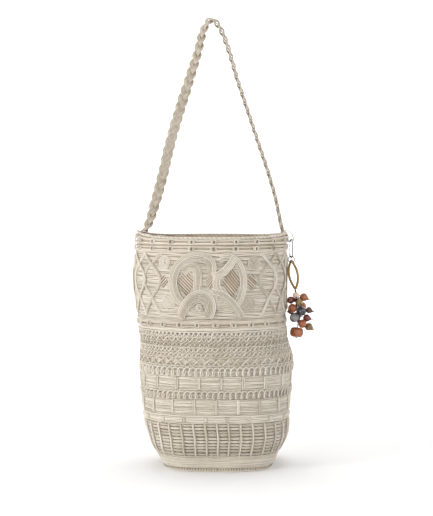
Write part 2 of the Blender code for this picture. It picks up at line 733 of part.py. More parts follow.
def build_charm():
    """Everything that hangs from the rim, each moving group in its joint's own frame."""
    hang = wall_point(CHARM_TURN, RIM_HEIGHT, HANG_OUT) - Vector((0.0, 0.0, HANG_BELOW_RIM))
    still = frame_empty("charm_hanger", hang, CHARM_TURN - 90.0)
    build_charm_loop(still)
    pierce_for_loop(still)
    charm_pivot = frame_empty("charm_pivot", hang, CHARM_TURN - 90.0)
    clip_drop = build_clip(charm_pivot)
    ring_top = -clip_drop + CLIP_WIRE / 2 + RING_WIRE / 2 + LOOP_CLEARANCE
    drop_pivot = frame_empty("drop_pivot", (0.0, 0.0, ring_top), 0.0, charm_pivot)
    ring_drop = build_ring(drop_pivot)
    build_charm_cord(drop_pivot, ring_drop)
    cord_top = -ring_drop + RING_WIRE / 2 + CHARM_CORD / 2 + GAP
    core_top = Vector((CHARM_LEAN, 0.0, cord_top - CHARM_CORD_DROP - CHARM_CORD / 2 - GAP))
    roots = build_strings(core_top, drop_pivot)
    build_beads(core_top, roots, drop_pivot)


for old in list(bpy.data.objects):
    bpy.data.objects.remove(old, do_unlink=True)
parts = bpy.data.collections.new("straw_bucket_bag")
cutters = bpy.data.collections.new("cutters")
for collection in (parts, cutters):
    bpy.context.scene.collection.children.link(collection)

straw = plain_material("straw cord", STRAW, 0.8)
gunmetal = plain_material("gunmetal", GUNMETAL, 0.35, 1.0)
tan_leather = plain_material("tan leather", TAN_LEATHER, 0.55)
waxed_string = plain_material("waxed string", WAXED_STRING, 0.6)

build_base()
build_plain_bands()
build_ladder()
build_block_bands()
build_net()
build_knot_bands()
build_medallions()
build_rim()
build_strap()
build_charm()
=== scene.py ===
# %% [markdown]
# # A straw bucket bag, cord by cord
# The bag is worked from paper-straw cord about 2 mm thick: rows of weave, two braids, an open net, a band
# of coiled scrollwork and a strap braided from the same cord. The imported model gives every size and
# place. This script replaces each band of wall by the cords it is worked from, so light catches every
# ridge and gap.

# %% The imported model
import json
import math
import bpy
import numpy as np
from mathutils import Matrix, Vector


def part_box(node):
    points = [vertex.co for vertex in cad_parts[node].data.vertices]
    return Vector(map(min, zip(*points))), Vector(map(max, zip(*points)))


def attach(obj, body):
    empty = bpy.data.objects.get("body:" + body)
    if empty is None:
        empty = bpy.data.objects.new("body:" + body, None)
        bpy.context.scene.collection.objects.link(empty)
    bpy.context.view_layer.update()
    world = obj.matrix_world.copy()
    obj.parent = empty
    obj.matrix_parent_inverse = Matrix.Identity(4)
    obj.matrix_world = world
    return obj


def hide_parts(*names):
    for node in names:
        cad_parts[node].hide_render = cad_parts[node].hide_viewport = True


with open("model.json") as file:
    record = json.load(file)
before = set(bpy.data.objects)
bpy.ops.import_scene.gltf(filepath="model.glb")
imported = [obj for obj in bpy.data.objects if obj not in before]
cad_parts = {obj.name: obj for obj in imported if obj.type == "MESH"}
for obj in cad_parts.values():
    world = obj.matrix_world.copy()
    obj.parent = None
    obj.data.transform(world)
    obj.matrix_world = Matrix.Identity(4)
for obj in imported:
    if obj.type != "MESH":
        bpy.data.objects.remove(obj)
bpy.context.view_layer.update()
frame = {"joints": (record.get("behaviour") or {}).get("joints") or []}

# %% [markdown]
# ## Camera
# The photo was taken from well in front, slightly above the rim, with a long lens. The camera height and
# the distance come from how much each band sags towards the viewer, and the lens from the bag's size in
# the frame.

# %% Camera at the photo's angle
PHOTO_LONG_SIDE = 516
FOCAL_PIXELS = 1586
CAMERA_DISTANCE = 2.3
CAMERA_HEIGHT = 0.397
CAMERA_LEFT = 0.0022
TILT_DOWN = math.radians(2.455)
SENSOR = 36.0

camera_data = bpy.data.cameras.new("camera")
camera_data.sensor_width = SENSOR
camera_data.lens = FOCAL_PIXELS * SENSOR / PHOTO_LONG_SIDE
camera_data.clip_start = 0.05
camera_data.clip_end = 20.0
camera = bpy.data.objects.new("camera", camera_data)
camera.location = (-CAMERA_LEFT, -CAMERA_DISTANCE, CAMERA_HEIGHT)
camera.rotation_euler = (math.pi / 2 - TILT_DOWN, 0.0, 0.0)
bpy.context.scene.collection.objects.link(camera)
bpy.context.scene.camera = camera
print("lens", round(camera_data.lens, 1), "mm")

# %% [markdown]
# ## The wall as a function
# Every cord on the bag lies on one smooth wall, so the wall is a function of two parameters: the turn
# round the bag in degrees (0 is the front, 90 the right side) and the height. Each height has a width, a
# depth, a sideways lean and a squareness, the exponent of its outline. The table is smoothed over a few
# millimetres.

# %% Wall function
BAG_WIDTH = 0.2204
BAG_DEPTH = 0.196
LIP = 0.0032
WALL = 0.0024
RIM_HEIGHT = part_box("rim")[0][2] + LIP
LEFT_LIFT, RIGHT_LIFT, LIFTED_HEIGHT = 0.009, 0.006, 0.0083
SMOOTHING = 0.012
SECTIONS = np.array((
    # height, width, depth, lean, squareness
    (0.000, 0.690, 0.800, 0.000, 3.2),
    (0.039, 0.763, 0.838, 0.000, 3.1),
    (0.073, 0.809, 0.867, -0.003, 3.0),
    (0.104, 0.865, 0.895, -0.002, 2.9),
    (0.139, 0.907, 0.918, 0.002, 2.8),
    (0.200, 0.943, 0.949, -0.009, 2.6),
    (0.295, 0.966, 0.980, -0.013, 2.4),
    (0.453, 1.000, 1.000, -0.010, 2.2),
    (0.497, 0.989, 0.990, -0.014, 2.1),
    (0.542, 0.957, 0.980, -0.025, 2.1),
    (0.605, 0.964, 0.980, -0.038, 2.1),
    (0.759, 0.990, 0.990, -0.051, 2.0),
    (0.846, 0.995, 1.000, -0.052, 2.0),
    (1.000, 0.994, 1.000, -0.040, 2.0),
))


def smooth_table():
    """The section table at 400 heights, each value the mean over SMOOTHING of height round it."""
    shares = np.linspace(0.0, 1.0, 400)
    half = max(1, round(SMOOTHING / RIM_HEIGHT * len(shares) / 2))
    kernel = np.ones(2 * half + 1) / (2 * half + 1)
    fine = [np.interp(shares, SECTIONS[:, 0], SECTIONS[:, k]) for k in range(1, 5)]
    return shares, [np.convolve(np.pad(values, half, mode="edge"), kernel, mode="valid") for values in fine]


SHARES, COLUMNS = smooth_table()


def wall(turn, height, out=0.0):
    """Points off the wall: middle + (radius + out) (sin turn, -cos turn), raised near the rim's two ends.

    The radius of a superellipse is (|sin/a|^n + |cos/b|^n)^(-1/n), with a, b and n read at the height."""
    turn, height, out = np.broadcast_arrays(turn, height, out)
    share = height / RIM_HEIGHT
    width, depth, lean, power = (np.interp(share, SHARES, values) for values in COLUMNS)
    angle = np.radians(turn)
    sine, cosine = np.sin(angle), np.cos(angle)
    across = np.abs(sine) / (width * BAG_WIDTH / 2)
    deep = np.abs(cosine) / (depth * BAG_DEPTH / 2)
    radius = (across ** power + deep ** power) ** (-1 / power) + out
    lifted = np.clip((height - RIM_HEIGHT + LIFTED_HEIGHT) / LIFTED_HEIGHT, 0, 1)
    lift = np.where(sine < 0, LEFT_LIFT, RIGHT_LIFT) * lifted * np.abs(sine) ** 8
    return np.stack((lean * BAG_WIDTH + radius * sine, -radius * cosine, height + lift), axis=-1)


def outward(turn):
    """Level unit vectors away from the bag's middle at each turn."""
    angle = np.radians(turn)
    return np.stack((np.sin(angle), -np.cos(angle), np.zeros_like(angle)), axis=-1)


print("rim height", round(RIM_HEIGHT * 1000, 1), "mm, bag", BAG_WIDTH * 1000, "mm wide")

# %% [markdown]
# ## Cords as tubes
# A cord is a circle carried along a path. All the cords of a band are made at once, as one array of
# paths, which is much quicker than one curve object each. Each cord also gets a number of its own, stored
# on its points, so that its colour can differ a little from its neighbour's, and UVs that hold the length
# along it, for the twist of its strands.

# %% Tubes along many paths
random = np.random.default_rng(7)


def grid_quads(rings, columns, closed=True):
    """Corner numbers of the quads of a grid of points. Its columns join up, and its rings too if closed."""
    k, j = np.meshgrid(np.arange(rings if closed else rings - 1), np.arange(columns), indexing="ij")
    after_k, after_j = (k + 1) % rings, (j + 1) % columns
    corners = ((k, j), (after_k, j), (after_k, after_j), (k, after_j))
    return np.stack([a * columns + b for a, b in corners], axis=-1).reshape(-1, 4)


def tubes(paths, radius, facing, sides=6, closed=False):
    """Round tubes along paths of shape (cords, points, 3).

    A ring of sides points stands across each path point: radius (cos a N + sin a B), where T is the path's
    direction, N the part of facing that is square to T, and B = T x N. Open cords get closed ends."""
    paths = np.asarray(paths, float)
    cords, points = paths.shape[:2]
    if closed:
        along = np.roll(paths, -1, axis=1) - np.roll(paths, 1, axis=1)
    else:
        along = np.gradient(paths, axis=1)
    along /= np.linalg.norm(along, axis=2, keepdims=True) + 1e-12
    facing = np.broadcast_to(facing, paths.shape)
    normal = facing - (facing * along).sum(2, keepdims=True) * along
    normal /= np.linalg.norm(normal, axis=2, keepdims=True) + 1e-12
    side = np.cross(along, normal)
    angle = np.arange(sides) * 2 * np.pi / sides
    radius = np.broadcast_to(radius, (cords, points))[..., None, None]
    ring = normal[:, :, None] * np.cos(angle)[:, None] + side[:, :, None] * np.sin(angle)[:, None]
    verts = (paths[:, :, None] + radius * ring).reshape(-1, 3)
    spans = points if closed else points - 1
    c, k, j = np.meshgrid(np.arange(cords), np.arange(spans), np.arange(sides), indexing="ij")
    after_k, after_j = (k + 1) % points, (j + 1) % sides
    corners = ((k, j), (k, after_j), (after_k, after_j), (after_k, j))
    quads = np.stack([(c * points + a) * sides + b for a, b in corners], axis=-1).reshape(-1, 4)
    steps = np.linalg.norm(np.diff(paths, axis=1, append=paths[:, :1]), axis=2)
    travelled = np.concatenate((np.zeros((cords, 1)), np.cumsum(steps, axis=1)), axis=1)
    u0, u1 = travelled[c, k], travelled[c, k + 1]
    v0, v1 = j / sides, (j + 1) / sides
    corners = ((u0, v0), (u0, v1), (u1, v1), (u1, v0))
    uv = np.stack([np.stack(corner, axis=-1) for corner in corners], axis=-2).reshape(-1, 4, 2)
    if not closed:
        first = np.arange(cords)[:, None] * points * sides
        last = first + (points - 1) * sides
        fan = np.array([(0, a, a + 1, a + 2) for a in range(1, sides - 2, 2)])
        ends = (first[:, :, None] + fan[:, ::-1], last[:, :, None] + fan)
        caps = np.concatenate([end.reshape(-1, 4) for end in ends])
        quads = np.concatenate((quads, caps))
        uv = np.concatenate((uv, np.zeros((len(caps), 4, 2))))
    tone = np.repeat(random.random(cords), points * sides)
    return verts, quads, uv, tone


def mesh_piece(name, batches, material, body, replaced=()):
    """One object from several batches of tubes, riding on a body and standing for CAD nodes."""
    shift, verts, quads, uvs, tones = 0, [], [], [], []
    for v, q, uv, tone in batches:
        verts.append(v)
        quads.append(q + shift)
        uvs.append(uv)
        tones.append(tone)
        shift += len(v)
    verts, quads, uvs, tones = (np.concatenate(items) for items in (verts, quads, uvs, tones))
    mesh = bpy.data.meshes.new(name)
    mesh.vertices.add(len(verts))
    mesh.vertices.foreach_set("co", verts.astype(np.float32).ravel())
    mesh.loops.add(quads.size)
    mesh.loops.foreach_set("vertex_index", quads.astype(np.int32).ravel())
    mesh.polygons.add(len(quads))
    mesh.polygons.foreach_set("loop_start", np.arange(0, quads.size, 4, dtype=np.int32))
    mesh.polygons.foreach_set("use_smooth", np.ones(len(quads), dtype=bool))
    mesh.uv_layers.new(name="cord").data.foreach_set("uv", uvs.astype(np.float32).ravel())
    mesh.attributes.new("tone", "FLOAT", "POINT").data.foreach_set("value", tones.astype(np.float32))
    mesh.update(calc_edges=True)
    mesh.validate()
    piece = bpy.data.objects.new(name, mesh)
    bpy.context.scene.collection.objects.link(piece)
    mesh.materials.append(material)
    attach(piece, body)
    if replaced:
        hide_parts(*replaced)
    print(f"{name}: {2 * len(quads)} triangles")
    return piece


# %% [markdown]
# ## Materials
# Straw cord is twisted paper or raffia: matt, off-white with a warm cast, a little darker in soft blotches
# of dust, and each cord slightly different. The strap's cord is coloured darker, as painted shade for its
# shaded face. The strands' twist shows as fine slanting ridges.

# %% Node helper and colours
def linear(hex_colour):
    """Linear RGBA of an sRGB hex colour: the 2.4 power curve with its straight start."""
    values = [int(hex_colour[k:k + 2], 16) / 255 for k in (1, 3, 5)]
    return (*(v / 12.92 if v <= 0.04045 else ((v + 0.055) / 1.055) ** 2.4 for v in values), 1.0)


def node(tree, kind, settings=None, links=None):
    """Add one node, set its properties or socket values, and link its inputs from the given outputs."""
    made = tree.nodes.new(kind)
    for key, value in (settings or {}).items():
        if isinstance(key, str) and hasattr(made, key):
            setattr(made, key, value)
        else:
            made.inputs[key].default_value = value
    for key, output in (links or {}).items():
        tree.links.new(output, made.inputs[key])
    return made


def new_material(name, **values):
    """A material with its Principled shader's plain values set on the shader's own sockets."""
    material = bpy.data.materials.new(name)
    material.use_nodes = True
    shader = material.node_tree.nodes["Principled BSDF"]
    for key, value in values.items():
        shader.inputs[key.replace("_", " ")].default_value = value
    return material, material.node_tree, shader


def colour_ramp(tree, factor, *stops):
    """A colour ramp from pairs of position and hex colour."""
    made = node(tree, "ShaderNodeValToRGB", links={"Fac": factor})
    ramp = made.color_ramp
    while len(ramp.elements) < len(stops):
        ramp.elements.new(0.5)
    for element, (position, colour) in zip(ramp.elements, stops):
        element.position = position
        element.color = linear(colour)
    return made.outputs["Color"]


def calculate(tree, operation, *values):
    """A math node whose sockets take the values in order, each an output or a plain number."""
    made = node(tree, "ShaderNodeMath", {"operation": operation})
    for k, value in enumerate(values):
        if isinstance(value, (int, float)):
            made.inputs[k].default_value = value
        else:
            tree.links.new(value, made.inputs[k])
    return made.outputs[0]


def noise(tree, place, scale, detail=2.0, distortion=0.0):
    """Cloudy noise over the object's own coordinates, from 0 to 1."""
    settings = {"Scale": scale, "Detail": detail, "Distortion": distortion}
    return node(tree, "ShaderNodeTexNoise", settings, {"Vector": place.outputs["Object"]}).outputs["Fac"]


def roughen(tree, shader, height, strength, distance):
    """Bend the surface's normal by a height pattern."""
    bump = node(tree, "ShaderNodeBump", {"Strength": strength, "Distance": distance}, {"Height": height})
    tree.links.new(bump.outputs["Normal"], shader.inputs["Normal"])


# %% Straw cord
CORD = 0.0019
TWIST_PITCH = 0.0034


def straw_material(name, light, mid, dark):
    """Twisted straw cord: colour from a number per cord, soft blotches and flecks; ridges from its UVs."""
    material, tree, shader = new_material(name, Roughness=0.78, IOR=1.5)
    shader.inputs["Sheen Weight"].default_value = 0.1
    shader.inputs["Sheen Roughness"].default_value = 0.5
    place = node(tree, "ShaderNodeTexCoord")
    own = node(tree, "ShaderNodeAttribute", {"attribute_name": "tone"})
    blotch = noise(tree, place, 45.0, 3.0)
    fleck = noise(tree, place, 900.0)
    shade = calculate(tree, "MULTIPLY", own.outputs["Fac"], 0.4)
    shade = calculate(tree, "MULTIPLY_ADD", blotch, 0.35, shade)
    shade = calculate(tree, "MULTIPLY_ADD", fleck, 0.25, shade)
    base = colour_ramp(tree, shade, (0.2, dark), (0.5, mid), (0.8, light))
    tree.links.new(base, shader.inputs["Base Color"])
    split = node(tree, "ShaderNodeSeparateXYZ", links={0: place.outputs["UV"]})
    turns = calculate(tree, "DIVIDE", split.outputs[0], TWIST_PITCH)
    slant = calculate(tree, "ADD", turns, split.outputs[1])
    ridge = calculate(tree, "SINE", calculate(tree, "MULTIPLY", slant, 4 * math.pi))
    rough = calculate(tree, "MULTIPLY_ADD", fleck, 0.8, ridge)
    roughen(tree, shader, rough, 0.5, 0.00025)
    return material


straw = straw_material("twisted straw cord", "#e4dccf", "#d3cabb", "#b3a896")
# Painted shade: the strap's cord is coloured darker than the wall's, for the strap's shaded face.
strap_straw_painted_shade = straw_material("straw cord of the strap, painted shade", "#d2c8ba", "#c0b5a5", "#a19482")
# Painted shade: the layer behind the ladder and the knot bands is coloured darker than the cord, for the
# shade inside the bag seen through the gaps.
inner_rows_painted_shade = straw_material("straw cord, inner rows, painted shade", "#cdbfab", "#b8a994", "#988a75")
# Painted light: the layer behind the net and the braids is coloured lighter than the cord, so the shaded
# inside of the bag reads lighter through the holes.
net_backing_painted_light = straw_material("inner layer behind the net, painted light", "#ebe2d4", "#dbd0c0", "#c2b5a2")
window_straw = straw_material("inner layer behind the windows", "#d9bfa8", "#c6a98f", "#a98f78")
stitch_straw = straw_material("browned stitching at the floor", "#94815f", "#7c6a4c", "#5d4d36")
print("straw finishes:", len(bpy.data.materials))

# %% [markdown]
# ## Rows of weave
# A row cord runs all the way round. It bows out between the stakes and in behind them, and no row is
# quite level, which the small waves of slightly different length give.

# %% Row cords
TURNS = np.linspace(0.0, 360.0, 168, endpoint=False)
MEAN_RADIUS = 0.107
# How many waves a row makes round the bag, and how high each is beside the first
WAVES = ((3, 1.0), (8, 0.7), (17, 0.6))
# Outer and inner face of the layer behind open work, behind the ladder and behind the knot bands
BEHIND_NET = (-0.0030, -0.0038)
BEHIND_LADDER = (-0.0034, -0.0042)
BEHIND_KNOTS = (-0.0016, -0.0024)


def wander(cords, points, size):
    """Slow random waves, one row of values a cord: size x the sum of share sin(count angle + phase)."""
    phases = random.random((3, cords, 1)) * 2 * np.pi
    along = np.linspace(0, 2 * np.pi, points, endpoint=False)[None]
    return size * sum(share * np.sin(count * along + phase) for (count, share), phase in zip(WAVES, phases))


def part_rows(heights, spots, width=2.2, tall=0.0035, push=0.0024):
    """Rows parted by knots: push sign(gap) exp(-(turn off / width)^2) exp(-|gap| / tall) for each knot."""
    moved = np.broadcast_to(heights, (len(heights), len(TURNS))).copy()
    for turn, height in spots:
        off = (TURNS - turn + 180) % 360 - 180
        gap = heights - height
        moved += push * np.sign(gap) * np.exp(-(off[None] / width) ** 2) * np.exp(-np.abs(gap) / tall)
    return moved


def rows(low, high, count, out=0.0, radius=CORD / 2, uneven=0.00022, spots=(), bow=0.0):
    """Row cords that fill a band edge to edge; the steps between them differ by chance."""
    steps = 1 + 0.5 * random.random(max(1, count - 1)) * (count > 2)
    shares = np.concatenate(([0.0], np.cumsum(steps) / steps.sum()))[:count]
    heights = (low + radius + shares * (high - low - 2 * radius))[:, None]
    heights = part_rows(heights, spots)
    heights = heights + wander(count, len(TURNS), uneven)
    lie = out + bow + wander(count, len(TURNS), uneven)
    return tubes(wall(TURNS[None], heights, lie), radius, outward(TURNS)[None], 6, closed=True)


def sleeve(low, high, outer=-0.0011, inner=-0.0022):
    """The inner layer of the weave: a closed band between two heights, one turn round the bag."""
    steps = np.linspace(low, high, 6)
    heights = np.concatenate((steps, steps[::-1]))
    outs = np.repeat((outer, inner), 6)
    verts = wall(TURNS[:, None], heights[None], outs[None])
    quads = grid_quads(len(TURNS), len(heights))
    j = np.tile(np.arange(len(heights)), len(TURNS))
    uv = np.zeros((len(quads), 4, 2))
    uv[..., 1] = np.stack((j, j + 1, j + 1, j), axis=-1)
    return verts.reshape(-1, 3), quads, uv, np.full(len(quads), 0.5)


def beside(count, shift=0.0, depth=0.0009, width=1.6):
    """How far rows dip in beside uprights: -depth exp(-(turn off / width)^2) at count even turns."""
    pitch = 360 / count
    off = (TURNS - shift + pitch / 2) % pitch - pitch / 2
    return -depth * np.exp(-(off / width) ** 2)[None]


def uprights(turns, low, high, out, radius=CORD / 2, points=12, tuck=0.0022, sides=6):
    """Cords standing on the wall at given turns, their ends tucked in behind the rows."""
    share = np.linspace(0, 1, points)
    heights = low + share * (high - low)
    from_end = np.minimum(share, 1 - share)
    dip = tuck * np.clip(1 - from_end / 0.12, 0, 1) ** 2
    turns = np.asarray(turns, float)[:, None]
    turns = turns + 0.25 * (random.random(turns.shape) - 0.5)
    lie = np.broadcast_to(out - np.sign(out) * dip[None], (len(turns), points))
    paths = wall(turns, heights[None], lie)
    return tubes(paths, radius, np.broadcast_to(outward(turns), paths.shape), sides)


def turn_of(length):
    """Degrees round the bag for a length along the wall."""
    return np.degrees(length / MEAN_RADIUS)


def span(name):
    """Lowest and highest height of a band node."""
    low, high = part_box(name)
    return low[2], high[2]


# %% [markdown]
# ## Base and foot
# The floor is one cord coiled from the middle outwards and stitched, and the foot is the same cord
# climbing the wall in close turns. The last coil shows a line of darker stitches at the floor.

# %% Floor coil, base edge and foot
def floor_cords(count):
    """Rings from the middle out: the base outline scaled by (k + 1/2) / count."""
    scale = (np.arange(count) + 0.5)[:, None] / count
    edge = wall(TURNS[None], CORD / 2, -CORD / 2)
    ring = edge * np.stack((scale, scale, np.ones_like(scale)), axis=2)
    ring[..., 2] = CORD / 2 + np.abs(wander(count, len(TURNS), 0.00004))
    return tubes(ring, CORD / 2, np.array((0.0, 0.0, 1.0)), 6, closed=True)


base_low, base_high = span("base")
foot_low, foot_high = span("foot_band")
stitch_turns = np.arange(0, 360, 2.6)
mesh_piece("base_cords", [
    floor_cords(38),
    rows(base_low, base_high, 3, 0.0, uneven=0.00003),
], straw, "bag", ["base"])
mesh_piece("base_stitches", [
    uprights(stitch_turns, base_low + 0.0014, base_high + 0.0004, 0.0007, 0.0006, 5),
], stitch_straw, "bag")
mesh_piece("foot_cords", [
    rows(foot_low, foot_high, 10),
    sleeve(foot_low, foot_high),
], straw, "bag", ["foot_band"])

# %% [markdown]
# ## Ladder band
# Thick stakes stand at even steps, inside and outside. Pairs of thinner rows pass between them, with a
# dark gap after each pair that is pinched a little where the pair swings.

# %% Stakes and row pairs
LADDER_STAKES = 36
LADDER_PAIRS = 10
THIN = 0.00155
STAKE = 0.0027
STAKES_OUT = (0.0011, -0.0033)

ladder_low, ladder_high = span("ladder_band")


def ladder_rows():
    """Pairs of thin rows, each swinging a little about the pair's height, with a gap after each pair."""
    pitch = (ladder_high - ladder_low) / LADDER_PAIRS
    middles = ladder_low + (np.arange(LADDER_PAIRS) + 0.5) * pitch
    middles = middles + (random.random(LADDER_PAIRS) - 0.5) * 0.0005
    side = np.tile((-0.5, 0.5), LADDER_PAIRS)[:, None]
    turn = np.linspace(0.0, 360.0, LADDER_STAKES * 7, endpoint=False)
    swing = THIN * 0.15 * np.sin(np.radians(turn * LADDER_STAKES * 2) + side * 2)
    uneven = wander(2 * LADDER_PAIRS, len(turn), 0.00012)
    heights = np.repeat(middles, 2)[:, None] + side * THIN * 0.98 + swing + uneven
    bow = -0.0006 - 0.0008 * np.cos(np.radians(turn * LADDER_STAKES))
    return tubes(wall(turn[None], heights, bow[None]), THIN / 2, outward(turn)[None], 6, closed=True)


stakes = np.arange(LADDER_STAKES) * 360 / LADDER_STAKES
mesh_piece("ladder_rows", [ladder_rows()], straw, "bag", ["ladder_band"])
# The layer behind the ladder carries painted shade.
mesh_piece("ladder_inner_layer", [sleeve(ladder_low, ladder_high, *BEHIND_LADDER)], inner_rows_painted_shade, "bag")
mesh_piece("ladder_stakes", [
    uprights(stakes, ladder_low - 0.001, ladder_high + 0.001, out, STAKE / 2, sides=8)
    for out in STAKES_OUT
], straw, "bag")

# %% [markdown]
# ## Block weave
# Two bands of close rows carry pairs of short uprights. In the lower band they stand in two staggered
# tiers, long pairs above and groups of short cords half a step on, below. The rows dip in beside each
# upright.

# %% Lower and upper block bands
BLOCKS = 20
LONG_BAR = 0.0216
SHORT_BAR = 0.0067
UPPER_SHIFT = 4.0
block_turns = np.arange(BLOCKS) * 360 / BLOCKS


def bars(turns, low, high, count, out=0.0013, radius=CORD / 2):
    """Groups of count uprights side by side at each turn."""
    shifts = (np.arange(count) - (count - 1) / 2) * turn_of(2 * radius * 1.08)
    return uprights((turns[:, None] + shifts[None]).ravel(), low, high, out, radius)


lower_low, lower_high = span("lower_block_band")
upper_low, upper_high = span("upper_block_band")
bars_foot = lower_high - LONG_BAR
shorts_low = lower_low + 0.0025
split = bars_foot - 0.0012
half_step = 180 / BLOCKS
mesh_piece("lower_block_rows", [
    rows(lower_low, split - 0.0001, 6, bow=beside(BLOCKS, half_step)),
    rows(split + 0.0004, lower_high, 11, bow=beside(BLOCKS), uneven=0.0003),
    sleeve(lower_low, lower_high),
], straw, "bag", ["lower_block_band"])
mesh_piece("lower_block_bars", [
    bars(block_turns, bars_foot, lower_high, 2),
    bars(block_turns + half_step, shorts_low, shorts_low + SHORT_BAR, 3, 0.0011, 0.0008),
], straw, "bag")
mesh_piece("upper_block_rows", [
    rows(upper_low, upper_high, 10, bow=beside(BLOCKS, UPPER_SHIFT), uneven=0.0003),
    sleeve(upper_low, upper_high),
], straw, "bag", ["upper_block_band"])
mesh_piece("upper_block_bars", [
    bars(block_turns + UPPER_SHIFT, upper_low + 0.0002, upper_high - 0.0002, 2),
], straw, "bag")

# %% [markdown]
# ## Braids
# Each braid is a cord thrown in upright loops, each loop over the last, round two straight rows, so every
# loop shows an eye above them and an eye below.

# %% Looped braids
def braid(name, node_name, loops, reach=0.0031, out=0.0012, depth=0.0009):
    """A prolate trochoid round the bag: turn = step t / 2 pi + reach sin t, height = middle + tall cos t."""
    low, high = span(node_name)
    middle, tall = (low + high) / 2, (high - low) / 2 - CORD / 2
    t = np.linspace(0, 2 * np.pi * loops, loops * 14, endpoint=False)
    lean = np.repeat(random.random(loops) - 0.5, 14) * 0.4
    turn = np.degrees(t) / loops + turn_of(reach) * np.sin(t + lean)
    height = middle + tall * np.cos(t + lean)
    lie = out - depth * np.sin(t)
    loop = tubes(wall(turn, height, lie)[None], CORD / 2, outward(turn)[None], 6, closed=True)
    core = rows(middle - CORD, middle + CORD, 2, -out, uneven=0.0001)
    edges = [rows(low, low + CORD, 1, -out), rows(high - CORD, high, 1, -out)]
    mesh_piece(name, [loop, core, *edges], straw, "bag", [node_name])
    # The layer behind each braid carries painted light.
    mesh_piece(name + "_inner_layer", [sleeve(low, high, *BEHIND_NET)], net_backing_painted_light, "bag")


braid("lower_braid_cords", "lower_braid", 78)
braid("upper_braid_cords", "upper_braid", 76, 0.0033)

# %% [markdown]
# ## Net
# The net is laced: zigzag cords pass over and under each other between ring cords, so it is a field of
# small slanting eyes. The lowest tier is a single row of eyes with zigzags twice as long.

# %% Net lacing
NET_EYES = 92
# Heights of the tiers' edges, shares of the band, and how many rows of eyes a tier has
NET_TIERS = ((0.0, 0.25, 1), (0.25, 0.54, 2), (0.54, 0.84, 2), (0.84, 1.0, 1))
LACE = 0.0019


def net_cords():
    """Zigzags in mirrored pairs that leave eyes between: middle +- swing x a rounded triangle wave."""
    low, high = span("net_band")
    turn = np.linspace(0, 360, NET_EYES * 6, endpoint=False)
    paths = []
    for start, stop, rows_in_tier in NET_TIERS:
        edges = low + np.linspace(start, stop, rows_in_tier + 1) * (high - low)
        for k in range(rows_in_tier):
            waves = NET_EYES / 4 if start == 0.0 else NET_EYES / 2
            phase = np.radians(turn) * waves + k * np.pi / 2
            middle, swing = (edges[k] + edges[k + 1]) / 2, (edges[k + 1] - edges[k]) / 2
            wave = 2 / np.pi * np.arcsin(0.985 * np.sin(phase))
            for sign in (-1, 1):
                uneven = wander(1, len(turn), 0.00022)[0]
                lie = 0.0003 + sign * 0.0007 * np.cos(phase)
                paths.append(wall(turn, middle + sign * swing * wave + uneven, lie))
    return tubes(np.array(paths), LACE / 2, outward(turn)[None], 6, closed=True)


def net_rings():
    """Ring cords at the tiers' edges, standing out over the lacing."""
    low, high = span("net_band")
    levels = [low + start * (high - low) for start, _, _ in NET_TIERS] + [high]
    levels = np.clip(levels, low + CORD / 2, high - CORD / 2)
    heights = levels[:, None] + wander(len(levels), len(TURNS), 0.0002)
    return tubes(wall(TURNS[None], heights, 0.0012), CORD / 2, outward(TURNS)[None], 6, closed=True)


mesh_piece("net_lacing", [net_cords()], straw, "bag", ["net_band"])
mesh_piece("net_rings", [net_rings()], straw, "bag")
# The layer behind the net carries painted light.
mesh_piece("net_inner_layer", [sleeve(*span("net_band"), *BEHIND_NET)], net_backing_painted_light, "bag")

# %% [markdown]
# ## Knot bands
# Bundles of rows are drawn together at even steps by ring knots. Each knot is a turn of cord round an
# eye, and the rows part round it.

# %% Ring knots
def ring_knots(turns, height, out=0.0015, across=0.0027, up=0.0032):
    """An upright oval of cord round each knot's eye and a short bar of cord at each side of it."""
    angle = np.linspace(0, 2 * np.pi, 14, endpoint=False)[None]
    turns = np.asarray(turns, float)[:, None]
    paths = wall(turns + turn_of(across * np.cos(angle)), height + up * np.sin(angle), out)
    oval = tubes(paths, CORD * 0.48, outward(turns), 6, closed=True)
    side = turn_of(across + CORD * 0.9)
    bar_turns = np.concatenate((turns - side, turns + side)).ravel()
    return [oval, uprights(bar_turns, height - up, height + up, 0.0008, CORD * 0.4, 6)]


def knot_band(name, node_name, count, first, tiers, bundles):
    """Bundles of rows between the tiers of knots."""
    low, high = span(node_name)
    high = min(high, RIM_HEIGHT - LIP)
    turns = first + np.arange(count) * 360 / count
    heights = [low + share * (high - low) for share in tiers]
    spots = [(turn, height) for height in heights for turn in turns]
    edges = [low + share * (high - low) for share in bundles]
    batches = []
    for start, stop in zip(edges[::2], edges[1::2]):
        count = max(2, round((stop - start) / (CORD * 1.02)))
        batches.append(rows(start, stop, count, spots=spots))
    mesh_piece(name + "_rows", batches, straw, "bag", [node_name])
    # The backing behind the knot bands carries painted shade.
    mesh_piece(name + "_backing", [sleeve(low, high, *BEHIND_KNOTS)], inner_rows_painted_shade, "bag")
    knots = [batch for height in heights for batch in ring_knots(turns, height)]
    mesh_piece(name + "_knots", knots, straw, "bag")


# Tiers of knots and edges of bundles, shares of the band's height
LOWER_BUNDLES = (0.0, 0.44, 0.56, 1.0)
UPPER_BUNDLES = (0.0, 0.20, 0.28, 0.44, 0.56, 0.74, 0.82, 1.0)
knot_band("lower_knot", "lower_knot_band", 24, 3.0, (0.5,), LOWER_BUNDLES)
knot_band("upper_knot", "upper_knot_band", 20, 2.0, (0.24, 0.78), UPPER_BUNDLES)

# %% [markdown]
# ## Rim
# The lip is a rope of three strands laid round the mouth, drawn up at both sides where the strap pulls.

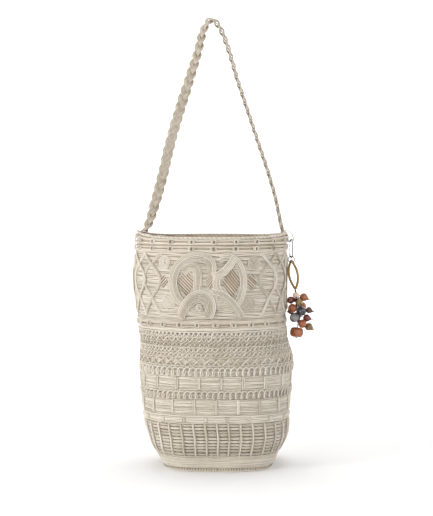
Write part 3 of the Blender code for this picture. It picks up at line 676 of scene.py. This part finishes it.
# %% Rim rope
def rim_rope(strands=3, twists=90, lay=0.0008):
    """Strands on a helix round the lip's middle: lay (sin a out, cos a up), a = twists x turn + phase."""
    turn = np.linspace(0, 360, twists * 7, endpoint=False)
    paths = []
    for k in range(strands):
        angle = np.radians(turn) * twists + 2 * np.pi * k / strands
        middle = wall(turn, RIM_HEIGHT - LIP / 2, -WALL / 2 + lay * np.sin(angle))
        middle[:, 2] += lay * np.cos(angle)
        paths.append(middle)
    return tubes(np.array(paths), CORD / 2, outward(turn)[None], 6, closed=True)


mesh_piece("rim_rope", [rim_rope()], straw, "bag", ["rim"])

# %% [markdown]
# ## Medallion band
# The widest band is scrollwork: bundles of two to six cords laid side by side, coiled into rings, arches
# and spirals and crossed over one another, on the rows behind. The pattern comes round three times. Its
# parts are given in millimetres on the opened-out wall, across from the pattern's middle and up from its
# foot.

# %% Opened-out wall
REPEATS = 3
PATTERN_TURN = 360 / REPEATS
PATTERN_WIDTH = 225.0
MM = 0.001
# Millimetres between the cords of a bundle, and the heights that scrolls keep to
SIDE_BY_SIDE = 2.35
SCROLL_HEIGHTS = (0.8, 93.0)
# How far out the lowest bundle's middle lies, and each bundle over it
RELIEF = 0.0009
RELIEF_STEP = 0.0012
TUCKED = -0.0008
medallion_low, medallion_high = span("medallion_band")


def smooth_path(points, step=2.2, closed=False):
    """Even points about step apart on the Catmull-Rom curve through the given points."""
    points = np.asarray(points, float)
    if closed:
        ring = np.concatenate((points[-1:], points, points[:2]))
    else:
        ring = np.concatenate((2 * points[:1] - points[1:2], points, 2 * points[-1:] - points[-2:-1]))
    a, b, c, d = ring[:-3], ring[1:-2], ring[2:-1], ring[3:]
    t = np.linspace(0, 1, 16, endpoint=False)[None, :, None]
    a, b, c, d = (item[:, None] for item in (a, b, c, d))
    bend = (2 * a - 5 * b + 4 * c - d) * t ** 2
    twist = (3 * b - a - 3 * c + d) * t ** 3
    fine = 0.5 * (2 * b + (c - a) * t + bend + twist)
    fine = fine.reshape(-1, points.shape[1])
    fine = np.concatenate((fine, fine[:1] if closed else points[-1:]))
    length = np.concatenate(([0], np.cumsum(np.linalg.norm(np.diff(fine, axis=0), axis=1))))
    count = max(6, round(length[-1] / step))
    stops = np.linspace(0, length[-1], count, endpoint=not closed)
    return np.stack([np.interp(stops, length, column) for column in fine.T], axis=1)


def lay(flat, level, repeats=REPEATS):
    """Paths on the opened-out wall (cords, points, 2), repeated round the bag at out = level."""
    turn = flat[..., 0] * PATTERN_TURN / PATTERN_WIDTH
    turn = np.concatenate([turn + k * PATTERN_TURN for k in range(repeats)])
    height = np.tile(medallion_low + flat[..., 1] * MM, (repeats, 1))
    level = np.tile(np.broadcast_to(level, flat.shape[:2]), (repeats, 1))
    return wall(turn, height, level), outward(turn)


def bundle(points, count, level, closed=False):
    """Count cords along one line: (k - (count - 1) / 2) SIDE_BY_SIDE to its left, open ends tucked in."""
    line = smooth_path(points, closed=closed)
    along = np.roll(line, -1, 0) - np.roll(line, 1, 0) if closed else np.gradient(line, axis=0)
    along /= np.linalg.norm(along, axis=1, keepdims=True)
    left = np.stack((-along[:, 1], along[:, 0]), axis=1)
    offsets = (np.arange(count) - (count - 1) / 2) * SIDE_BY_SIDE
    flat = line[None] + offsets[:, None, None] * left[None]
    flat[..., 1] = np.clip(flat[..., 1], *SCROLL_HEIGHTS)
    lie = np.full(len(line), RELIEF + level * RELIEF_STEP)
    if not closed:
        ends = np.minimum(np.arange(len(line)), np.arange(len(line))[::-1])
        lie -= (lie - TUCKED) * np.clip(1 - ends / 3, 0, 1) ** 2
    paths, facing = lay(flat, lie[None] + np.zeros((count, 1)))
    return tubes(paths, CORD / 2, facing, 6, closed=closed)


def spiral(middle, inner, outer, level, way=1):
    """A cord coiled flat: middle + r (cos a, sin a), with r growing by SIDE_BY_SIDE a turn and a by way."""
    coils = (outer - inner) / SIDE_BY_SIDE
    count = max(12, round(coils * 16))
    angle = way * np.linspace(0, 2 * np.pi * coils, count)
    radius = np.linspace(inner, outer, count)
    flat = np.stack((middle[0] + radius * np.cos(angle), middle[1] + radius * np.sin(angle)), -1)[None]
    flat[..., 1] = np.clip(flat[..., 1], *SCROLL_HEIGHTS)
    paths, facing = lay(flat, np.full((1, count), RELIEF + level * RELIEF_STEP))
    return tubes(paths, CORD / 2, facing, 6)


# %% Rows behind the scrolls, cut at the windows
# Windows as diamonds: middle across, middle up, half width, half height
WINDOWS = (
    (-37.0, 51.0, 15.0, 20.0),
    (34.0, 51.0, 16.0, 21.0),
    (1.0, 53.0, 7.0, 14.0),
    (-74.0, 52.0, 8.0, 11.0),
    (66.0, 51.0, 10.0, 13.0),
)


def window_rows():
    """Rows between the windows, whose edges are at middle +- half width (1 - |up| / half height)."""
    batches = []
    ups = np.arange(CORD / MM / 2, 93.8, 2.0)
    for up in ups:
        cuts = []
        for x, y, half, tall in WINDOWS:
            reach = half * (1 - abs(up - y) / tall)
            if reach > 1.0:
                cuts.append((x - reach, x + reach))
        cuts.sort()
        sag = 0.5 * random.random()
        stops = cuts + [(cuts[0][0] + PATTERN_WIDTH, 0.0)] if cuts else []
        spans = [(start, end) for (_, start), (end, _) in zip(stops, stops[1:]) if end - start > 3]
        for start, end in spans or [(-PATTERN_WIDTH / 2, PATTERN_WIDTH / 2)]:
            count = max(4, round((end - start) / 4))
            across = np.linspace(start, end, count, endpoint=bool(spans))
            flat = np.stack((across, up + sag * np.sin(across / 9 + up)), -1)[None]
            paths, facing = lay(flat, np.full((1, count), -0.0006))
            if not spans:
                paths, facing = paths.reshape(1, -1, 3), facing.reshape(1, -1, 3)
            batches.append(tubes(paths, CORD / 2, facing, 6, closed=not spans))
    return batches


mesh_piece("medallion_rows", window_rows(), straw, "bag", ["medallion_band"])
mesh_piece("medallion_inner_layer", [
    sleeve(medallion_low, medallion_high - 0.002, -0.0030, -0.0038),
], window_straw, "bag")

# %% Scrolls
LEFT_RING = (
    (-31, 17), (-44, 23), (-54, 36), (-57, 52), (-53, 68), (-43, 80),
    (-29, 87), (-14, 87), (-2, 82), (3, 72), (1, 62),
)
LEFT_BAND = ((-42, 66), (-34, 73), (-25, 74), (-19, 67), (-18, 54), (-20, 38))
RIGHT_RING = ((14, 85), (24, 87), (36, 83), (46, 72), (51, 58), (51, 43), (46, 29), (38, 18))
CROSS_BAND = ((4, 60), (13, 62), (22, 68), (30, 77), (37, 88))
RIGHT_BAND = ((18, 65), (12, 60), (9.5, 51), (12, 42), (18, 35))
EGG_ARCH = ((-48, 2), (-39, 18), (-29, 29), (-16, 35), (-5, 32), (1, 23), (0, 12), (-6, 2))
EGG_INSIDE = ((-36, 10), (-29, 20), (-17, 25), (-8, 20), (-8, 10), (-20, 9))
FOOT_ARCH = ((2, 38), (13, 36), (24, 31), (34, 22), (42, 11), (48, 1))
LEAF = ((9, 18), (17, 24), (28, 20), (33, 12), (22, 11))
OVER_KNOT = ((-2, 41), (4, 36), (10, 26), (12, 16))

mesh_piece("medallion_rings", [
    bundle(LEFT_BAND, 6, 0),
    bundle(RIGHT_BAND, 5, 0),
    bundle(LEFT_RING, 6, 1),
    bundle(RIGHT_RING, 5, 1),
    bundle(CROSS_BAND, 5, 2),
], straw, "bag")
mesh_piece("medallion_scrolls", [
    bundle(FOOT_ARCH, 5, 1),
    bundle(EGG_ARCH, 6, 2),
    bundle(EGG_INSIDE, 2, 1, closed=True),
    spiral((-18, 17), 0.9, 5.5, 1),
    bundle(LEAF, 2, 0, closed=True),
    bundle(OVER_KNOT, 2, 0),
    spiral((-65, 25), 0.9, 12.0, 0),
    spiral((60, 22), 0.9, 12.0, 0, -1),
    spiral((-72, 79), 0.9, 10.0, 0),
    spiral((68, 77), 0.9, 11.0, 0, -1),
], straw, "bag")


# %% Window lacing and crossed pairs
# Slant of each window's lacing and the millimetres between its cords, in the order of the windows
WINDOW_LACING = ((-0.9, 3.6), (-1.1, 3.6), (1.2, 3.0), (0.9, 3.4), (-0.8, 3.4))
PAIR_CORNERS = ((-17, 92), (-2, 78), (12, 66), (18, 54), (12, 42), (0, 28), (-17, 3))
PAIR_MIDDLES = (-97.0, 97.0)


def lacing(window, slant, gap):
    """Slanting cords gap apart: up = slant x across + k gap hypot(1, slant), kept inside the window."""
    x, y, half, tall = window
    half, tall = half + 3, tall + 3
    batches = []
    for k in range(-10, 11):
        rise = k * gap * math.hypot(1, slant)
        across = np.linspace(-half, half, 24)
        inside = np.abs(across) / half + np.abs(slant * across + rise) / tall < 1
        if inside.sum() < 3:
            continue
        across = np.linspace(across[inside][0], across[inside][-1], 8)
        flat = np.stack((x + across, y + slant * across + rise), axis=-1)[None]
        paths, facing = lay(flat, np.full((1, 8), -0.0004))
        batches.append(tubes(paths, CORD * 0.45, facing, 6))
    return batches


def crossed_pairs():
    """Pairs of cords in long waves that cross between the medallions and frame two diamonds there."""
    batches = []
    for middle in PAIR_MIDDLES:
        for side in (-1, 1):
            line = [(middle + side * x, y) for x, y in PAIR_CORNERS]
            batches.append(bundle(line, 2, 0.4 + 0.3 * side))
    return batches


laced = [batch for window, how in zip(WINDOWS, WINDOW_LACING) for batch in lacing(window, *how)]
mesh_piece("medallion_lacing", laced + crossed_pairs(), straw, "bag")

# %% [markdown]
# ## Strap
# The strap is a flat braid of three strands, each of four cords laid side by side. A strand swings from
# edge to edge, and its turns at the edges are the scallops that show against the white ground.

# %% Strap line and braid
STRAP_WIDTH, STRAP_THICKNESS = 0.015, 0.0052
STRAP_RISE, STRAP_TAIL, STRAP_ROOM = 0.3105, 0.034, 0.0011
# Share of the way across from the left seat, share of the rise, degrees that the strap's face is turned
STRAP_ROUTE = (
    (0.018, 0.010, 12), (0.061, 0.060, 45), (0.113, 0.173, 70), (0.159, 0.286, 80),
    (0.198, 0.399, 84), (0.244, 0.512, 84), (0.296, 0.624, 76), (0.349, 0.737, 62),
    (0.402, 0.850, 50), (0.444, 0.955, 38), (0.500, 1.000, 26), (0.563, 0.955, 20),
    (0.623, 0.850, 14), (0.672, 0.737, 10), (0.728, 0.624, 8), (0.784, 0.512, 8),
    (0.841, 0.399, 8), (0.897, 0.286, 6), (0.946, 0.173, 4), (0.981, 0.060, 2),
)


def strap_seat(side, height):
    """Where the strap's middle line lies inside the wall, at the left (-1) or the right (1)."""
    return wall(90.0 * side, height, -WALL - STRAP_ROOM - STRAP_THICKNESS / 2)


def strap_line():
    """The middle line with its facing angle, from the left tail over the top to the right tail."""
    top = RIM_HEIGHT - LIP
    left, right = strap_seat(-1, top), strap_seat(1, top)
    stops = [(*strap_seat(-1, top - STRAP_TAIL * share), 0.0) for share in (1.0, 0.5)]
    stops.append((*left, 4.0))
    for along, up, face in STRAP_ROUTE:
        x = left[0] + along * (right[0] - left[0])
        stops.append((x, 0.0, RIM_HEIGHT + up * STRAP_RISE, face))
    stops.append((*right, 0.0))
    stops += [(*strap_seat(1, top - STRAP_TAIL * share), 0.0) for share in (0.5, 1.0)]
    units = np.array((MM, MM, MM, 1.0))
    return smooth_path(np.array(stops) / units, 2.5) * units


def strap_braid(pitch=0.040, strands=3, cords=4, cord=0.00165, past_edge=0.0010, over=0.0023):
    """Strand k of 3 swings by sin p across and sin 2p in thickness, p = 2 pi (length / pitch + k / 3)."""
    line = strap_line()
    place, face = line[:, :3], np.radians(line[:, 3:])
    along = np.gradient(place, axis=0)
    along /= np.linalg.norm(along, axis=1, keepdims=True)
    level = np.array((0.0, 1.0, 0.0))
    broad = level * np.cos(face) + np.cross(along, level) * np.sin(face)
    thin = np.cross(along, broad)
    length = np.concatenate(([0], np.cumsum(np.linalg.norm(np.diff(place, axis=0), axis=1))))
    swing = STRAP_WIDTH / 2 - cords * cord / 2 + past_edge
    paths = []
    for strand in range(strands):
        phase = 2 * np.pi * (length / pitch + strand / strands)
        tilt = np.arctan(2 * np.pi * swing / pitch * np.cos(phase))
        for k in range(cords):
            offset = (k - (cords - 1) / 2) * cord
            across = swing * np.sin(phase) + offset * np.cos(tilt)
            forth = -offset * np.sin(tilt)
            lift = over * np.sin(2 * phase)
            sideways = broad * across[:, None] + along * forth[:, None]
            paths.append(place + sideways + thin * lift[:, None])
    return tubes(np.array(paths), cord / 2, thin[None], 6)


# The strap's cord carries painted shade.
mesh_piece("strap_braid", [strap_braid()], strap_straw_painted_shade, "bag", ["strap"])

# %% [markdown]
# ## Charm
# A cord loop through the wall carries a dark metal spring hook, a split ring, a folded tan leather cord
# and a cluster of sixteen beads, each knotted on its own waxed string. Everything is placed from the
# joints' points.

# %% Charm frames and wire pieces
joints = {joint["name"]: joint for joint in frame["joints"]}
HANGER = np.array(joints["charm_swing"]["pos_m"])
DROP = np.array(joints["drop_swing"]["pos_m"])
GATE = np.array(joints["gate_hinge"]["pos_m"])
CHARM_TURN = 83.5
CLIP_TURN = 60.0
RING_RADIUS = 0.0045
UP = np.array((0.0, 0.0, 1.0))


def placed(points, origin, turn=0.0):
    """Points of a charm frame in the scene: origin + x X + y Y + z up, with X facing away from the wall."""
    angle = math.radians(CHARM_TURN - 90.0 + turn)
    x_axis = np.array((math.cos(angle), math.sin(angle), 0.0))
    y_axis = np.array((-math.sin(angle), math.cos(angle), 0.0))
    points = np.asarray(points, float)
    return origin + points[..., :1] * x_axis + points[..., 1:2] * y_axis + points[..., 2:] * UP


def flat_arc(middle, radius, start, stop, count):
    """Points of an arc in a frame's X Z plane."""
    angle = np.radians(np.linspace(start, stop, count))
    return np.stack((middle[0] + radius * np.cos(angle), 0 * angle, middle[1] + radius * np.sin(angle)), -1)


def wire(points, radius, origin, turn=0.0, closed=False, sides=12, step=0.0006):
    """A round wire on the smooth line through points of a charm frame."""
    line = smooth_path(np.asarray(points) / step, 1.0, closed) * step
    path = placed(line, origin, turn)[None]
    facing = placed(np.array((0.0, 1.0, 0.0)), 0 * origin, turn)
    return tubes(path, radius, facing[None, None], sides, closed)


def loop_route():
    """Through the wall below the rim, up outside and over the rim: (across, up) in the hanger's frame."""
    low, top, over, inside, outside = -0.0022, 0.0134, -0.0072, -0.0116, 0.003
    route = (
        (inside, 0.3 * top), (inside + 0.0004, 0.3 * low), (inside + 0.0022, low),
        (over + 0.003, low), (0.0, low), (outside - 0.0008, 0.75 * low),
        (outside, 0.1 * low), (outside - 0.0004, 0.3 * top), (outside - 0.0032, 0.7 * top),
        (over + 0.0022, 0.98 * top), (over, top + 0.0003), (over - 0.002, 0.9 * top),
        (inside, 0.68 * top),
    )
    return [(x, 0.0, z) for x, z in route]


def clip_line(half=0.0037, height=0.0259, nose=-0.0044, heel=-0.0194):
    """The hook's open oval, from its nose over the top and round the foot to the gate's hinge."""
    top = flat_arc((0.0, -half), half, 180, 0, 13)
    foot = flat_arc((0.0, half - height), half, 0, -180, 13)
    return np.concatenate((((-half, 0.0, nose),), top, foot, ((-half, 0.0, heel),)))


def leather_line(half=0.00645, drop=0.0405, top=-0.0063, lean=0.0059, apart=0.0032, count=40):
    """The folded cord: sideways half sin a, down drop (1 - cos a) / 2, its legs crossing over the ring."""
    angle = np.arange(count) * 2 * np.pi / count
    down, side = (1 - np.cos(angle)) / 2, np.sin(angle).round(6)
    spread = half * side * (0.35 + 0.65 * np.sin(np.pi * down).clip(0) ** 0.6)
    away = apart * np.sign(side) * np.maximum(0, 1 - down / 0.3)
    return np.stack((spread + lean * down, -away - 0.001 * side, top - drop * down), -1)


# %% Metal, leather and string
def gunmetal_material(name, colour):
    """Black-nickel plated wire: dark, glossy metal with faint wear that changes its roughness."""
    material, tree, shader = new_material(name, Metallic=1.0, Base_Color=linear(colour))
    place = node(tree, "ShaderNodeTexCoord")
    wear = noise(tree, place, 900.0, 4.0)
    gloss = node(tree, "ShaderNodeMapRange", {"To Min": 0.3, "To Max": 0.5}, {"Value": wear})
    tree.links.new(gloss.outputs[0], shader.inputs["Roughness"])
    return material


def leather_material():
    """Round tan leather cord: waxed surface, fine creases across it, paler where it is worn."""
    material, tree, shader = new_material("tan leather cord", Roughness=0.42, IOR=1.5)
    place = node(tree, "ShaderNodeTexCoord")
    grain = noise(tree, place, 700.0, 4.0)
    colour = colour_ramp(tree, grain, (0.3, "#6d5527"), (0.55, "#8f7440"), (0.75, "#b59c68"))
    tree.links.new(colour, shader.inputs["Base Color"])
    creases = node(tree, "ShaderNodeTexVoronoi", {"Scale": 1500.0}, {"Vector": place.outputs["Object"]})
    roughen(tree, shader, creases.outputs["Distance"], 0.3, 0.0002)
    return material


gunmetal = gunmetal_material("black nickel wire", "#2b2c30")
# The gate is coloured a lighter grey than the hook.
bright_gate = gunmetal_material("black nickel gate, lighter grey", "#6f7074")
leather = leather_material()
waxed, _, _ = new_material("waxed string", Base_Color=linear("#3a2a20"), Roughness=0.45)

mesh_piece("charm_loop_cord", [wire(loop_route(), 0.001, HANGER)], straw, "bag", ["charm_loop"])
mesh_piece("hook", [
    wire(clip_line(), 0.0008, HANGER, CLIP_TURN, step=0.0004),
], gunmetal, "clip", ["clip_frame"])
mesh_piece("hook_gate", [
    wire([(0, 0, 0), (0, 0, 0.006), (0, 0, 0.0123)], 0.00065, GATE, CLIP_TURN),
    wire([(0, -0.0011, 0), (0, 0, 0), (0, 0.0011, 0)], 0.0013, GATE, CLIP_TURN + 90),
], bright_gate, "gate", ["clip_gate"])
mesh_piece("split_ring", [
    wire(flat_arc((0.0, -RING_RADIUS), RING_RADIUS, 90, 450, 24)[:-1], 0.0006, DROP, closed=True),
], gunmetal, "drop", ["clip_ring"])
mesh_piece("leather_loop", [
    wire(leather_line(), 0.0018, DROP, closed=True),
], leather, "drop", ["charm_cord"])

# %% Beads
# From the top of the core: outward, along the rim, up, diameter (all mm), form, finish slot, colours
BEADS = {
    "cream": (1.4, -7.6, -7.2, 10.0, "round", "cream_bead", "#c9a992", "#e2cdbb", "#a9745a"),
    "chestnut": (12.4, -2.0, -10.0, 12.0, "pointed", "rust_bead", "#804422", "#9a5a30", "#5f2c14"),
    "garnet": (-6.6, -1.5, -14.4, 11.0, "round", "garnet_bead", "#5a1f1a", "#7a3226", "#caa796"),
    "olive": (6.6, -9.2, -17.2, 9.6, "round", "olive_bead", "#84693a", "#a3884f", "#54401f"),
    "carnelian": (-3.6, -9.0, -25.6, 12.8, "round", "rust_bead", "#853f1f", "#a0572c", "#66290f"),
    "onyx": (9.6, -9.8, -29.8, 13.6, "round", "black_bead", "#17171b", "#2b2c33", "#8d8f96"),
    "umber": (20.0, -3.2, -28.6, 9.6, "pointed", "brown_bead", "#4a2a1a", "#6b3f27", "#2c170e"),
    "wine": (-6.6, 3.4, -30.6, 9.6, "round", "garnet_bead", "#5b211b", "#742f25", "#35100c"),
    "slate": (-1.0, -10.2, -39.2, 13.4, "round", "grey_bead", "#716d70", "#8f8b8e", "#6b5a35"),
    "russet": (16.6, -0.4, -40.2, 11.2, "pointed", "garnet_bead", "#5e2218", "#7e3524", "#3b130d"),
    "amber": (10.8, -9.0, -47.8, 12.6, "round", "rust_bead", "#8b4722", "#a65e31", "#6c3012"),
    "khaki": (19.8, -1.0, -52.8, 11.6, "pointed", "olive_bead", "#6f4f2a", "#8e6c3d", "#4a3018"),
    "pumpkin": (2.2, -1.2, -60.8, 19.6, "flattened", "rust_bead", "#84411f", "#9d5429", "#c48a58"),
    "walnut": (0.4, 8.0, -13.0, 11.4, "round", "brown_bead", "#5c3520", "#7a4a2d", "#3a1f11"),
    "copper": (9.2, 8.8, -23.8, 12.6, "round", "rust_bead", "#8a4727", "#a55c35", "#5c2b14"),
    "cocoa": (1.0, 9.2, -39.2, 13.2, "round", "brown_bead", "#553020", "#6f432c", "#331b10"),
}
# Outlines as height and radius, shares of half the diameter
BEAD_FORMS = {
    "round": (
        (0.94, 0.30), (0.86, 0.50), (0.62, 0.78), (0.32, 0.95), (0.0, 1.0),
        (-0.32, 0.95), (-0.62, 0.78), (-0.86, 0.50), (-0.94, 0.30),
    ),
    "pointed": (
        (1.22, 0.22), (1.08, 0.34), (0.72, 0.64), (0.40, 0.88), (0.10, 1.0),
        (-0.25, 0.97), (-0.55, 0.84), (-0.80, 0.60), (-0.88, 0.42),
    ),
    "flattened": (
        (0.70, 0.24), (0.74, 0.42), (0.62, 0.78), (0.34, 0.95), (0.0, 1.0),
        (-0.34, 0.95), (-0.62, 0.78), (-0.74, 0.42), (-0.70, 0.24),
    ),
}
CORE_TOP = np.array((0.0059, 0.0, -0.0489))
CORE_FOOT = np.array((0.0040, 0.0, -0.0470))
BORE = 0.0009
# The largest bead is melon-cut: this many grooves, each this share of its radius deep
LOBES = 9
GROOVE = 0.035
BEAD_ORDER = sorted(BEADS, key=lambda name: -BEADS[name][2])


def bead_material(name, body, light, fleck):
    """Polished stone or glass: a body colour clouded with a lighter one and flecked, under a clear gloss."""
    material, tree, shader = new_material(name, Roughness=0.16, IOR=1.52)
    shader.inputs["Coat Weight"].default_value = 0.5
    shader.inputs["Coat Roughness"].default_value = 0.05
    place = node(tree, "ShaderNodeTexCoord")
    base = colour_ramp(tree, noise(tree, place, 220.0, 4.0, 1.2), (0.38, body), (0.62, light))
    specks = noise(tree, place, 700.0)
    mask = node(tree, "ShaderNodeMapRange", {"From Min": 0.6, "From Max": 0.68}, {"Value": specks})
    mixed = node(tree, "ShaderNodeMix", {"data_type": "RGBA"}, {0: mask.outputs[0], 6: base})
    mixed.inputs[7].default_value = linear(fleck)
    tree.links.new(mixed.outputs[2], shader.inputs["Base Color"])
    return material


def bead_root(rank):
    """Where a bead's string leaves the core, the beads in order from the top down."""
    return CORE_TOP + CORE_FOOT * ((rank + 0.7) / (len(BEADS) + 0.2))


def turned_bead(name, rank):
    """The outline turned round the string: place + height T + radius (cos a N + sin a B), bore left open."""
    x, y, z, diameter, form = BEADS[name][:5]
    place = CORE_TOP + np.array((x, y, z)) * MM
    axis = place - bead_root(rank)
    axis /= np.linalg.norm(axis)
    outline = np.array(BEAD_FORMS[form]) * diameter / 2 * MM
    outline = smooth_path(outline / MM, 0.5) * MM
    outline = np.concatenate((outline, [(outline[-1, 0], BORE), (outline[0, 0], BORE)]))
    sides = 36 if form == "flattened" else 28
    angle = np.arange(sides) * 2 * np.pi / sides
    swell = 1 - GROOVE * np.abs(np.cos(LOBES * angle / 2)) ** 6 * (form == "flattened")
    normal = np.cross(axis, (0.0, 1.0, 0.3))
    normal /= np.linalg.norm(normal)
    side = np.cross(axis, normal)
    ring = normal * np.cos(angle)[:, None] + side * np.sin(angle)[:, None]
    radius = np.where(outline[:, 1:] > BORE * 1.01, outline[:, 1:] * swell, outline[:, 1:])
    verts = place + outline[:, :1, None] * axis + radius[..., None] * ring
    verts = placed(verts.reshape(-1, 3), DROP)
    quads = grid_quads(len(outline), sides)
    return verts, quads, np.zeros((len(quads), 4, 2)), np.full(len(verts), 0.5)


def strings():
    """A core of three strands and a string from it through each bead to a knot beyond the bead's tip."""
    batches = []
    facing = placed(np.array((0.0, 1.0, 0.0)), 0 * DROP)[None, None]
    for k in range(3):
        angle = np.linspace(0, 14 * np.pi, 120)[:, None] + 2 * np.pi * k / 3
        line = np.linspace(0, 1, 120)[:, None] * CORE_FOOT + CORE_TOP
        line = line + 0.0007 * np.concatenate((np.cos(angle), np.sin(angle), 0 * angle), axis=1)
        batches.append(tubes(placed(line, DROP)[None], 0.00075, facing, 8))
    for rank, name in enumerate(BEAD_ORDER):
        x, y, z, diameter, form = BEADS[name][:5]
        root = bead_root(rank)
        place = CORE_TOP + np.array((x, y, z)) * MM
        along = (place - root) / np.linalg.norm(place - root)
        tip = place + along * (BEAD_FORMS[form][0][0] * diameter / 2 * MM)
        stops = np.array([root, root + 0.5 * (place - root), place, tip])
        line = smooth_path(stops / MM, 0.8) * MM
        batches.append(tubes(placed(line, DROP)[None], 0.0006, facing, 8))
        share = np.linspace(0, 1, 9)
        knot = tip + along * (0.0003 + 0.0018 * share[:, None])
        swell = 0.0012 * np.sqrt(1 - (2 * share - 1) ** 2).clip(0.25)
        batches.append(tubes(placed(knot, DROP)[None], swell[None], facing, 10))
    return batches


mesh_piece("strings_and_knots", strings(), waxed, "drop", ["bead_strings"])
for rank, name in enumerate(BEAD_ORDER):
    bead_slot, body, light, fleck = BEADS[name][5:]
    finish = bead_material(name + " polished", body, light, fleck)
    mesh_piece(name + "_bead", [turned_bead(name, rank)], finish, "drop", [name])

# %% [markdown]
# ## Floor and light
# A studio sweep: one white sheet turned about the bag, with a floor, a curve and a wall, lit by broad
# soft lamps. Away from the bag the sheet glows a little, so no view of the bag has a grey ground.

# %% Sweep, lamps and world
SWEEP_RADIUS = 4.0
SWEEP_CURVE = 1.0
SWEEP_HEIGHT = 3.6


def sweep_sheet(floor=-0.0004, sides=96):
    """A profile turned about the bag: a floor out to R - c, a quarter arc of radius c, then a wall at R."""
    arc = np.linspace(0, np.pi / 2, 12)
    curve = SWEEP_RADIUS - SWEEP_CURVE + SWEEP_CURVE * np.sin(arc)
    radius = np.concatenate(([0.02, 1.0, 2.0], curve, [SWEEP_RADIUS]))
    height = np.concatenate(([floor] * 3, floor + SWEEP_CURVE * (1 - np.cos(arc)), [SWEEP_HEIGHT]))
    angle = np.arange(sides) * 2 * np.pi / sides
    radius, height = radius[:, None], height[:, None]
    ring = np.stack((radius * np.cos(angle), radius * np.sin(angle), height + 0 * angle), axis=-1)
    faces = grid_quads(len(radius), sides, closed=False).tolist() + [list(range(sides))]
    mesh = bpy.data.meshes.new("sweep")
    mesh.from_pydata(ring.reshape(-1, 3).tolist(), [], faces)
    mesh.polygons.foreach_set("use_smooth", [True] * len(faces))
    sheet = bpy.data.objects.new("sweep", mesh)
    bpy.context.scene.collection.objects.link(sheet)
    mesh.materials.append(paper_material())
    return sheet


def paper_material():
    """White paper that glows a little away from the bag, as a lit studio wall does."""
    material, tree, shader = new_material("white paper", Base_Color=linear("#fbfbfb"), Roughness=0.9)
    place = node(tree, "ShaderNodeTexCoord")
    away = node(tree, "ShaderNodeVectorMath", {"operation": "LENGTH"}, {0: place.outputs["Object"]})
    limits = {"From Min": 1.0, "From Max": 2.4, "To Max": 0.5}
    glow = node(tree, "ShaderNodeMapRange", limits, {"Value": away.outputs["Value"]})
    shader.inputs["Emission Color"].default_value = linear("#ffffff")
    tree.links.new(glow.outputs[0], shader.inputs["Emission Strength"])
    return material


def lamp(name, place, aim, size, power):
    """A square area lamp turned to look at a point."""
    data = bpy.data.lights.new(name, "AREA")
    data.size = size
    data.energy = power
    made = bpy.data.objects.new(name, data)
    made.location = place
    direction = np.array(aim) - np.array(place)
    made.rotation_euler = Vector(direction).to_track_quat("-Z", "Y").to_euler()
    bpy.context.scene.collection.objects.link(made)
    return made


sweep = sweep_sheet()
lamps = [
    lamp("key", (-1.9, -1.3, 0.9), (0, 0, 0.15), 0.8, 19),
    lamp("fill", (1.6, -1.6, 0.9), (0, 0, 0.25), 1.4, 1),
    lamp("floor", (0.0, 0.7, 2.6), (0, 0.7, 0.0), 1.8, 28),
]
print("staged:", sweep.name, *(made.name for made in lamps))
world = bpy.data.worlds.new("studio")
bpy.context.scene.world = world
bpy.context.scene.view_settings.view_transform = "Standard"
world.use_nodes = True
world.node_tree.nodes["Background"].inputs["Color"].default_value = linear("#ffffff")
world.node_tree.nodes["Background"].inputs["Strength"].default_value = 0.15
